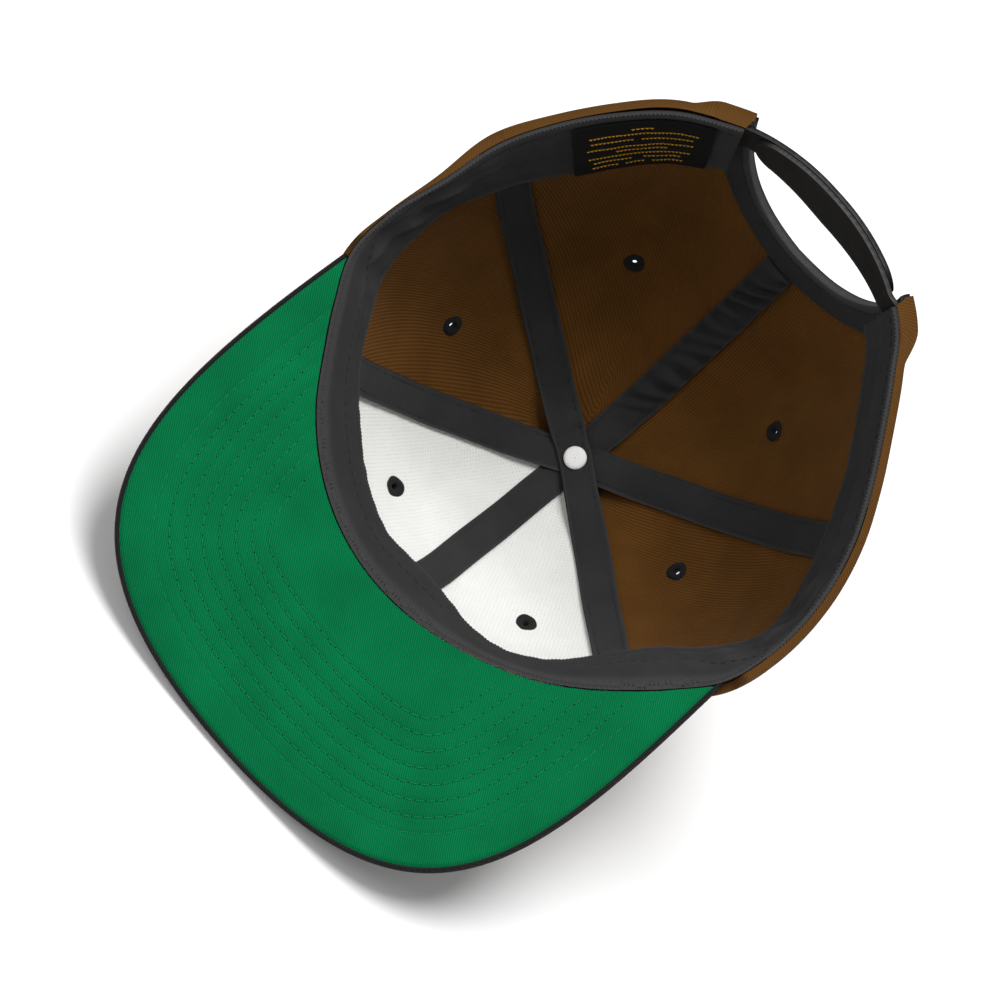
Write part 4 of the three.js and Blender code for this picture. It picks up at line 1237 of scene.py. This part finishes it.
def back_opening_binding():
    azimuth, t = arch_stations(70)
    round_over = [
        # distance from the cut edge, distance inside the cloth, as the tape's own face
        (BINDING_WIDTH, 0.0),
        (BINDING_WIDTH * 0.9, 0.12),
        (BINDING_WIDTH * 0.75, 0.2),
        (BINDING_WIDTH * 0.6, 0.15),
        (BINDING_WIDTH * 0.45, 0.22),
        (BINDING_WIDTH * 0.3, 0.25),
        (BINDING_WIDTH * 0.2, 0.05),
        (BINDING_WIDTH * 0.12, 0.2),
        (0.5, 0.3),
        (0.1, 0.25),
    ]
    inside = -BINDING_INSET
    arch_length = along_path(wall(azimuth, t))
    level = np.zeros(len(t))
    wave = 0.12 * np.sin(arch_length / 2.3) + 0.14 * np.sin(arch_length / 5.7 + 1)
    outer_columns, inner_columns = [], []
    for distance, rise in round_over:
        outer_columns.append((distance + level, inside + level))
        inner_columns.append((distance + 0.3 * wave, inside - BINDING_THICKNESS - rise + wave * 0.6))
    lip_places = [
        (-GAP, inside - 0.1, -GAP - BINDING_THICKNESS * 0.75, inside - BINDING_THICKNESS * 0.8),
        (-GAP, 0.2, -GAP - BINDING_THICKNESS, 0.1),
        (-GAP, CLOTH_THICKNESS * 0.6, -GAP - BINDING_THICKNESS, CLOTH_THICKNESS * 0.6),
        (-GAP, CLOTH_THICKNESS, -GAP - BINDING_THICKNESS * 0.8, CLOTH_THICKNESS + 0.2),
    ]
    for near, outward, far, beyond in lip_places:
        outer_columns.append((near + level, outward + level))
        inner_columns.append((far + 0.2 * wave, beyond + level))

    def grid(columns):
        distance = np.stack([c[0] for c in columns], axis=1)
        outward = np.stack([c[1] for c in columns], axis=1)
        return beside_arch(azimuth, t, distance, outward)

    place = np.array([c[0].mean() for c in inner_columns])
    wear_and_shade = np.zeros(len(place))
    wear_and_shade[7:12] = 0.45
    sheet = stack(place[None, :], arch_length[:, None], wear_and_shade[None, :])
    name = "back_opening_binding"
    make_slab(name, grid(inner_columns), grid(outer_columns), sheet, black_tape, "seam_tape", 0.2)
    face = inside - BINDING_THICKNESS - 0.15
    normals = -wall_normal(azimuth, t)
    rows = [(arch_line(azimuth, t, inset, face), normals) for inset in (1.9, BINDING_WIDTH - 1.4)]
    stitch_rows("binding_stitches", rows, tape_thread, "seam_tape", *BINDING_STITCH)


back_opening_binding()


# Snap straps
UNDER_BINDING = BINDING_INSET + BINDING_THICKNESS + GAP
BESIDE_STRAP = UNDER_BINDING + STRAP_THICKNESS + GAP


def degrees_along_strap(length):
    return math.degrees(length / float(np.linalg.norm(wall_rim_point(180))))


OUTER_TIP = 180 + ARCH_HALF - degrees_along_strap(STRAP_TIP_GAP)
INNER_TIP = TAB_AZIMUTH + degrees_along_strap(STRAP_TIP_GAP)


def strap(name, root, tip, depth_at):
    """A strap from its root under the crown to its rounded tip."""
    columns, rows = 150, 13
    share = np.sin(np.linspace(0, np.pi / 2, columns))
    azimuth = mix(root, tip, share)
    tip_degrees = degrees_along_strap(STRAP_TIP_LENGTH)
    from_tip = np.abs(azimuth - tip) / tip_degrees
    rounding = 1 - np.minimum(1, from_tip)
    half = 0.5 * np.sqrt(1 - 0.92 * rounding * rounding)
    up = 0.5 + half[:, None] * np.linspace(-1, 1, rows)[None, :]
    height = STRAP_BOTTOM + STRAP_HEIGHT * up
    azimuth = np.broadcast_to(azimuth[:, None], up.shape).copy()
    t = at_height(azimuth, height)
    depth = depth_at(azimuth)
    outer = wall(azimuth, t, -depth)
    inner = wall(azimuth, t, -depth - STRAP_THICKNESS)
    length = np.radians(azimuth - 180) * float(np.linalg.norm(wall_rim_point(180)))
    near_edge = (1 - np.abs(np.linspace(-1, 1, rows)))[None, :] * half[:, None] * STRAP_HEIGHT
    wear_and_shade = 0.75 * np.exp(-((near_edge / 0.8) ** 2))
    return make_slab(name, outer, inner, stack(length, height, wear_and_shade), black_plastic, "strap_plastic")


def stud_places():
    places = []
    for k in range(STUD_COUNT):
        azimuth = np.array([180 + degrees_along_strap(STUD_SPACING) * (k - (STUD_COUNT - 1) / 2)])
        t = at_height(azimuth, np.array([STRAP_BOTTOM + STRAP_HEIGHT / 2]))
        places.append((wall(azimuth, t)[0], wall_normal(azimuth, t)[0]))
    return places


def turned(profile_rows, centre, axis, sides=40):
    """Rings of a turned shape: profile rows are radius and place along the axis."""
    axis = unit(axis)
    helper = np.array([1.0, 0, 0]) if abs(axis[0]) < 0.8 else np.array([0, 1.0, 0])
    across = unit(np.cross(axis, helper))
    other = np.cross(axis, across)
    turn = np.arange(sides) * 2 * np.pi / sides
    rows = np.asarray(profile_rows, float)
    circle = np.cos(turn)[:, None] * across + np.sin(turn)[:, None] * other
    return centre + rows[:, 0, None, None] * circle[None] + rows[:, 1, None, None] * axis


def turned_weave(rings):
    n, m = rings.shape[:2]
    flat = rings - rings.mean(axis=(0, 1))
    reach = rings[0] - rings[0].mean(axis=0)
    side = unit(reach[0])
    axis = unit(np.cross(reach[0], reach[m // 4]))
    other = np.cross(axis, side)
    sheet = stack(flat @ side, flat @ other, np.zeros((n, m))).reshape(-1, 3)
    return np.concatenate([sheet, [[0, 0, 0], [0, 0, 0]]])


def strap_outer():
    """The strap with holes, which are cut one at a time by a round cutter."""
    obj = strap("strap_outer", STRAP_ROOT, OUTER_TIP, lambda azimuth: UNDER_BINDING + 0 * azimuth)
    radius = STUD_RADIUS + GAP
    cutter = new_object("cutter", bpy.data.meshes.new("cutter"))
    for centre, axis in stud_places():
        points, quads = ring_grid(turned([(radius, -BESIDE_STRAP), (radius, STUD_RISE)], centre, axis))
        cutter.data = new_mesh("cutter", to_row(points), quads)
        cut = obj.modifiers.new("hole", "BOOLEAN")
        cut.operation = "DIFFERENCE"
        cut.solver = "EXACT"
        cut.object = cutter
        bpy.context.view_layer.update()
        shown = obj.evaluated_get(bpy.context.evaluated_depsgraph_get())
        made = bpy.data.meshes.new_from_object(shown)
        obj.modifiers.remove(cut)
        obj.data = made
    bpy.data.objects.remove(cutter)
    round_edges(obj, 0.4, 3)


def strap_inner():
    return_end = OUTER_TIP + degrees_along_strap(STRAP_TIP_GAP)

    def depth_at(azimuth):
        return mix(BESIDE_STRAP, UNDER_BINDING, ease(azimuth, OUTER_TIP + 0.6, return_end + 2))

    round_edges(strap("strap_inner", 360 - STRAP_ROOT, INNER_TIP, depth_at), 0.4, 3)
    for k, (centre, axis) in enumerate(stud_places()):
        low = -BESIDE_STRAP - 0.3
        top = STUD_RISE - UNDER_BINDING
        rows = [
            (STUD_RADIUS + 0.25, low),
            (STUD_RADIUS, low + 0.6),
            (STUD_RADIUS * 0.9, low + 1.4),
            (STUD_RADIUS, top - 0.6),
            (STUD_RADIUS * 0.96, top - 0.25),
            (STUD_RADIUS * 0.7, top - 0.04),
            (STUD_RADIUS * 0.3, top),
        ]
        rings = turned(rows, centre, axis, 32)
        weave = turned_weave(rings)
        make(f"stud_{k + 1}", *ring_grid(rings), weave, black_plastic, slot="strap_plastic")


strap_outer()
strap_inner()


# Visor
def visor_edge(share, side, inset):
    """Point of the visor outline, from the corner at the rim to the middle of the front edge."""
    shape = VISOR_SHAPE[side]
    corner = VISOR_CORNER_POINT
    handle = corner + VISOR_LENGTH * np.array([shape["corner_flare"], -shape["corner_reach"]])
    front = np.array([VISOR_LENGTH * shape["front_reach"], VISOR_TIP_Y])
    tip = np.array([0, VISOR_TIP_Y])
    s = np.asarray(share, float)[..., None]
    r = 1 - s
    point = r**3 * corner + 3 * r * r * s * handle + 3 * r * s * s * front + s**3 * tip
    along = 3 * r * r * (handle - corner) + 6 * r * s * (front - handle) + 3 * s * s * (tip - front)
    along = unit(along)
    inset = np.asarray(inset, float)
    x = point[..., 0] + along[..., 1] * inset
    y = point[..., 1] - along[..., 0] * inset
    return np.stack([side * x, y], axis=-1)


def visor_stations(count):
    """Side and share of each column, closer together towards the corners."""
    share = np.linspace(0, 1, count)
    share = 0.5 * share + 0.5 * share**1.5
    side = np.concatenate([np.full(count, -1), np.full(count - 1, 1)])
    return side, np.concatenate([share, share[:-1][::-1]])


VISOR_SIDE, VISOR_SHARE = visor_stations(110)


def visor_outline(inset):
    points = np.zeros((len(VISOR_SHARE), 2))
    for side in (-1, 1):
        where = VISOR_SIDE == side
        points[where] = visor_edge(VISOR_SHARE[where], side, inset)
    return points


FINE_OUTLINE = visor_outline(0.0)


def distance_to_edge(plan):
    flat = plan.reshape(-1, 2)
    a = FINE_OUTLINE[:-1]
    b = FINE_OUTLINE[1:]
    best = np.full(len(flat), 1e9)
    for start, stop in zip(a, b):
        along = stop - start
        share = np.clip(((flat - start) @ along) / (along @ along), 0, 1)
        gap_to = np.linalg.norm(flat - start - share[:, None] * along, axis=-1)
        best = np.minimum(best, gap_to)
    return best.reshape(plan.shape[:-1])


def visor_rows(inset):
    """Inner and outer plan points of every column."""
    azimuth = VISOR_SIDE * VISOR_CORNER * (1 - VISOR_SHARE)
    return rim_point(azimuth, GAP + 0.15 - rim_shift(azimuth)), visor_outline(inset)


def quilting(distance):
    """Hollows along the stitch rows, and soft rounds between them."""
    rise = np.zeros(distance.shape)
    for row in VISOR_STITCH_INSETS:
        rise -= 0.3 * np.exp(-(((distance - row) / 0.85) ** 2))
    rise += 0.35 * np.exp(-(((distance - 6.5) / 4.5) ** 2))
    return rise


def visor_normals(plan):
    step = 0.5
    x, y = plan[..., 0], plan[..., 1]
    dx = (visor_height(x + step, y) - visor_height(x - step, y)) / (2 * step)
    dy = (visor_height(x, y + step) - visor_height(x, y - step)) / (2 * step)
    return unit(stack(-dx, -dy, 1.0))


def visor_place(plan, lift):
    height = visor_height(plan[..., 0], plan[..., 1])
    base = np.concatenate([plan, height[..., None]], axis=-1)
    return base + visor_normals(plan) * np.broadcast_to(lift, height.shape)[..., None]


def visor_under():
    inner_edge, outer_edge = visor_rows(VISOR_EDGE_WIDTH)
    share = np.linspace(0, 1, 120)
    plan = mix(inner_edge[:, None, :], outer_edge[:, None, :], share[None, :, None])
    distance = distance_to_edge(plan)
    roll = 0.75 * np.exp(-(((distance - VISOR_EDGE_WIDTH) / 0.7) ** 2))
    relief = quilting(distance)
    lower = visor_place(plan, -relief + roll)
    upper = visor_place(plan, VISOR_CLOTH)
    wear_and_shade = 0.25 * np.exp(-(((distance - VISOR_EDGE_WIDTH) / 0.8) ** 2))
    for row in VISOR_STITCH_INSETS:
        wear_and_shade = wear_and_shade + 0.05 * np.exp(-(((distance - row - 1.6) / 1.0) ** 2))
    sheet = stack(plan[..., 0], plan[..., 1], np.clip(wear_and_shade, 0, 1))
    make_slab("visor_under", lower, upper, sheet, green_cloth, "under_visor_cloth", 0.15)


def visor_top():
    inner_edge, outer_edge = visor_rows(0.0)
    _, lip_edge = visor_rows(VISOR_EDGE_WIDTH - 0.15)
    _, tuck_edge = visor_rows(VISOR_EDGE_WIDTH + 0.6)
    half = VISOR_STACK / 2
    columns = 60
    share = np.linspace(0, 1, columns)
    top = mix(inner_edge[:, None, :], outer_edge[:, None, :], share[None, :, None])
    inward = unit(lip_edge - outer_edge)
    roll_radius = 1.2
    distance = distance_to_edge(top)
    relief = quilting(distance) * 0.8
    off_top = np.clip(1 - distance / roll_radius, 0, 1)
    drop = roll_radius * (1 - np.sqrt(1 - off_top**2))
    upper = visor_place(top, VISOR_STACK + relief * ease(distance, 1, 3) - 0.3 * drop)
    rings = [upper[:, k] for k in range(upper.shape[1])]
    for angle in np.linspace(30, 150, 7):
        out = 0.35 * math.sin(math.radians(angle))
        plan = outer_edge - inward * (out - 0.35)
        lift = half + half * math.cos(math.radians(angle)) * 0.98
        rings.append(visor_place(plan, lift))
    rings.append(visor_place(outer_edge + inward * 0.25, 0.02))
    rings.append(visor_place(mix(outer_edge, lip_edge, 0.75), 0.05))
    rings.append(visor_place(lip_edge, 0.35))
    rings.append(visor_place(tuck_edge, VISOR_CLOTH + 0.1))
    rings.append(visor_place(inner_edge, VISOR_CLOTH + 0.1))
    section = np.stack(rings, axis=1)
    n, m = section.shape[:2]
    points, quads = ring_grid(section)
    along = along_path(section[:, columns - 1])
    across = np.cumsum(np.linalg.norm(np.diff(section, axis=1), axis=-1), axis=1)
    across = np.concatenate([np.zeros((n, 1)), across], axis=1)
    wear_and_shade = np.zeros((n, m))
    wear_and_shade[:, columns - 1 : columns + 10] = 0.35
    plan_like = section[..., :2].copy()
    plan_like[:, columns:, 0] = along[:, None]
    plan_like[:, columns:, 1] = across[:, columns:]
    sheet = stack(plan_like[..., 0], plan_like[..., 1], wear_and_shade).reshape(-1, 3)
    weave = np.concatenate([sheet, [[0, 0, 0], [0, 0, 0]]])
    make("visor_top", points, quads, weave, black_cloth, ("visor_top",), "visor_cloth")


def smooth_line(points, width):
    """Moving average of a polyline that keeps its ends."""
    padded = np.pad(points, ((width, width), (0, 0)), mode="edge")
    kernel = np.hanning(2 * width + 3)[1:-1]
    kernel = kernel / kernel.sum()
    return np.stack([np.convolve(padded[:, k], kernel, mode="valid") for k in range(2)], axis=-1)


def stitch_line_on_visor(inset):
    """A line parallel to the visor's edge, up to the sweatband."""
    line = visor_outline(inset)
    true = distance_to_edge(line) > inset - 0.12
    azimuth = np.degrees(np.arctan2(line[:, 0], -line[:, 1]))
    clear = np.linalg.norm(line, axis=-1) > np.linalg.norm(rim_point(azimuth), axis=-1) + 1.5
    kept = line[true & clear]
    lengths = along_path(kept)
    at = np.linspace(0, lengths[-1], int(lengths[-1] / 1.2))
    even_line = np.stack([np.interp(at, lengths, kept[:, k]) for k in range(2)], axis=-1)
    return smooth_line(even_line, 6)


def visor_stitches():
    under_rows, top_rows = [], []
    for inset in VISOR_STITCH_INSETS:
        line = stitch_line_on_visor(inset)
        normal = visor_normals(line)
        under_rows.append((visor_place(line, 0.26), -normal))
        top_rows.append((visor_place(line, VISOR_STACK - 0.2), normal))
    slot = "under_visor_cloth"
    stitch_rows("visor_under_stitches", under_rows, green_thread, slot, *VISOR_STITCH)
    stitch_rows("visor_top_stitches", top_rows, dark_thread, "visor_cloth", *VISOR_STITCH)
    needle_holes(under_rows)


def needle_holes(rows):
    """Needle holes between the stitches, drawn as small dark discs of painted shade."""
    sides = 8
    turn = np.arange(sides) * 2 * np.pi / sides
    length, space, _ = VISOR_STITCH
    disc = np.array([[0.26, -0.2], [0.22, 0.03], [0.08, 0.05]])
    parts = []
    for points, normals in rows:
        lengths = along_path(points)
        count = int((lengths[-1] - space) // (length + space))
        step = lengths[-1] / count
        at = np.arange(1, count) * step
        centre = sample(points, lengths, at)
        normal = unit(sample(normals, lengths, at))
        tangent = unit(sample(np.gradient(points, axis=0), lengths, at))
        side = np.cross(tangent, normal)
        for c, n, s, along in zip(centre, normal, side, tangent):
            circle = np.cos(turn)[:, None] * s + np.sin(turn)[:, None] * along
            rings = np.stack([c + radius * circle + rise * n for radius, rise in disc])
            parts.append((*ring_grid(rings), np.zeros((len(disc) * sides + 2, 3))))
    make("visor_needle_hole_shade", *joined_parts(parts), needle_hole_shade, slot="under_visor_cloth")


visor_under()
visor_top()
visor_stitches()


# Eyelets: close satin stitch round each hole, inside and outside
def eyelet(place):
    centre, axis, across = eyelet_frame(place)
    stretch = STIFF_EYELET_STRETCH if place["stiffened"] else 1.0
    axis = unit(axis + EYELET_LEAN * np.array([0, 0, 1.0]))
    across = unit(across - axis * (across @ axis))
    other = stretch * np.cross(axis, across)
    layers = GAP + BUCKRAM_THICKNESS if place["stiffened"] else 0
    low = -layers - 0.1
    high = CLOTH_THICKNESS + 0.1
    turn = np.linspace(0, 2 * np.pi, 208, endpoint=False)
    ridge = 0.09 * np.cos(26 * turn) + 0.05 * np.sin(5 * turn + place["azimuth"])
    section = [
        # share of the way from hole to rim, height over the cloth, side of the cloth
        (0.0, -0.2, -1),
        (0.1, 0.4, -1),
        (0.34, 0.9, -1),
        (0.62, 0.85, -1),
        (0.85, 0.38, -1),
        (1.0, -0.1, -1),
        (1.0, -0.1, 1),
        (0.85, 0.38, 1),
        (0.62, 0.7, 1),
        (0.34, 0.7, 1),
        (0.1, 0.3, 1),
        (0.0, -0.2, 1),
    ]
    rings = []
    for out, rise, face in section:
        radius = mix(EYELET_OPEN, EYELET_RADIUS, out) + (ridge * 0.8 if out > 0.5 else 0 * ridge)
        radius = radius + 0.16 * out * np.sin(3 * turn + 2 * place["azimuth"])
        level = (high if face > 0 else low) + face * (rise + ridge * (0.15 < out < 0.95))
        x, y = radius * np.cos(turn), radius * np.sin(turn)
        rings.append(centre + stack(x, y, level) @ np.stack([across, other, axis]))
    rings = np.stack(rings)
    n, m = rings.shape[:2]
    index = np.arange(n * m).reshape(n, m)
    below = np.roll(index, -1, axis=0)
    ahead = np.roll(index, -1, axis=1)
    corner = np.roll(below, -1, axis=1)
    quads = np.stack([index, below, corner, ahead], axis=-1).reshape(-1, 4)
    sheet = stack(turn[None, :] * 4, np.arange(n)[:, None] * 0.5, 0)
    name = f"eyelet_{place['name']}"
    make(name, rings.reshape(-1, 3), quads, sheet.reshape(-1, 3), eyelet_thread, (name,), "eyelet_thread")


for place in EYELETS:
    eyelet(place)


# Topstitching outside, on both sides of every seam
def topstitching():
    rows = []
    seam_starts = {0: 0, FRONT_SEAM: 0, -FRONT_SEAM: 0, REAR_SEAM: 0, -REAR_SEAM: 0, 180: ARCH_HEIGHT}
    for seam, start_height in seam_starts.items():
        for side in (-1, 1):
            start = max(float(hem_level(np.array(float(seam)))), start_height) + 2.5
            first = at_height(float(seam), np.array(start))
            last = at_plan_distance(float(seam), np.array(BUTTON_RADIUS + 1.0))
            t = mix(first, last, np.linspace(0, 1, 140))
            reach = profile(np.full(t.shape, float(seam)), t)[0] * plan_reach(float(seam))
            azimuth = seam + side * np.degrees(TOPSTITCH_OFFSET / reach)
            relief = soft_relief(azimuth, t)
            points = wall(azimuth, t, CLOTH_THICKNESS - 0.15, relief)
            rows.append((points, wall_normal(azimuth, t)))
    stitch_rows("crown_topstitching", rows, brown_thread, "crown_cloth", *CROWN_STITCH)


def arch_topstitching():
    azimuth, t = arch_stations(70)
    line = arch_line(azimuth, t, ARCH_STITCH_OFFSET, CLOTH_THICKNESS + 0.05)
    rows = [(line, wall_normal(azimuth, t))]
    stitch_rows("arch_topstitching", rows, brown_thread, "crown_cloth", *CROWN_STITCH)


topstitching()
arch_topstitching()


# Button outside of the apex and rivet inside
def make_turned(name, rows, sides, material, slot):
    rings = turned(rows, np.array([0, -APEX_FORWARD, 0.0]), np.array([0, 0, 1.0]), sides)
    make(name, *ring_grid(rings), turned_weave(rings), material, (name,), slot)


def top_button():
    bottom = CROWN_HEIGHT + CLOTH_THICKNESS + GAP
    rows = [(0.35 * BUTTON_RADIUS, bottom - 0.6), (0.8 * BUTTON_RADIUS, bottom - 0.3)]
    for angle in np.radians(np.linspace(-20, 88, 22)):
        if angle < 0:
            radius = 0.78 + 0.22 * math.cos(angle)
            rise = 0.22 * (1 + math.sin(angle) / math.sin(math.radians(20)))
        else:
            radius = math.cos(angle) ** 0.75
            rise = 0.22 + 0.78 * math.sin(angle)
        rows.append((BUTTON_RADIUS * radius, bottom + BUTTON_HEIGHT * rise))
    make_turned("top_button", rows, 72, brown_cloth, "button_cloth")


def apex_rivet():
    rows = [(RIVET_RADIUS * 0.95, RIVET_TOP)]
    for angle in np.linspace(0, 90, 14):
        radius = RIVET_RADIUS * math.sin(math.radians(90 - angle)) ** 0.5
        down = RIVET_THICKNESS * (0.15 + 0.85 * math.sin(math.radians(angle)))
        rows.append((max(radius, 0.15), RIVET_TOP - down))
    make_turned("apex_rivet", rows, 64, white_metal, "rivet_metal")


top_button()
apex_rivet()


# Camera at the photograph's angle, from its place and axes in the cap's frame
CAMERA_PLACE = np.array([-80.84, -97.2, -1315.69])
CAMERA_FORWARD = np.array([0.0606, 0.0387, 0.9974])
CAMERA_DOWN = np.array([-0.7525, -0.6548, 0.0712])
SENSOR_WIDTH = 36.0
FOCAL_LENGTH = 151.2


def set_axes(obj, x, y, z, place):
    matrix = Matrix.Identity(4)
    for column, vector in enumerate((x, y, z, place)):
        for k in range(3):
            matrix[k][column] = vector[k]
    obj.matrix_world = matrix


def camera():
    data = bpy.data.cameras.new("camera")
    data.sensor_width = SENSOR_WIDTH
    data.lens = FOCAL_LENGTH
    data.clip_start = 0.05
    data.clip_end = 50
    obj = new_object("camera", data)
    forward = unit(TURN @ CAMERA_FORWARD)
    down = TURN @ CAMERA_DOWN
    down = unit(down - forward * (down @ forward))
    set_axes(obj, np.cross(down, forward), -down, -forward, to_row(CAMERA_PLACE))
    bpy.context.scene.camera = obj


camera()


# Floor and light
def floor():
    size = 8.0
    mesh = bpy.data.meshes.new("floor")
    low = -0.0002
    corners = [(-size, -size, low), (size, -size, low), (size, size, low), (-size, size, low)]
    mesh.from_pydata(corners, [], [(0, 1, 2, 3)])
    material, _, shader = new_material("floor", 0.9, 0.1)
    shader.inputs["Base Color"].default_value = (0.92, 0.92, 0.92, 1)
    shader.inputs["Emission Color"].default_value = (1, 1, 1, 1)
    shader.inputs["Emission Strength"].default_value = 0.06
    mesh.materials.append(material)
    obj = new_object("floor", mesh)


LIGHT_TARGET = np.array([0, 0, 0.07])


def area_light(name, direction, distance, size, power):
    data = bpy.data.lights.new(name, "AREA")
    data.shape = "DISK"
    data.size = size
    data.energy = power
    away = unit(np.array(direction))
    x = unit(np.cross([0, 0, 1.0], away))
    set_axes(new_object(name, data), x, np.cross(away, x), away, LIGHT_TARGET + away * distance)


def world_light(strength):
    world = bpy.data.worlds.new("studio")
    bpy.context.scene.world = world
    world.use_nodes = True
    background = world.node_tree.nodes["Background"]
    background.inputs["Color"].default_value = (1, 1, 1, 1)
    background.inputs["Strength"].default_value = strength


floor()
world_light(0.3)
area_light("key", (-0.02, 0.1, 0.98), 1.6, 0.9, 27)
area_light("fill", (-0.62, -0.5, 0.65), 2.2, 1.4, 9)
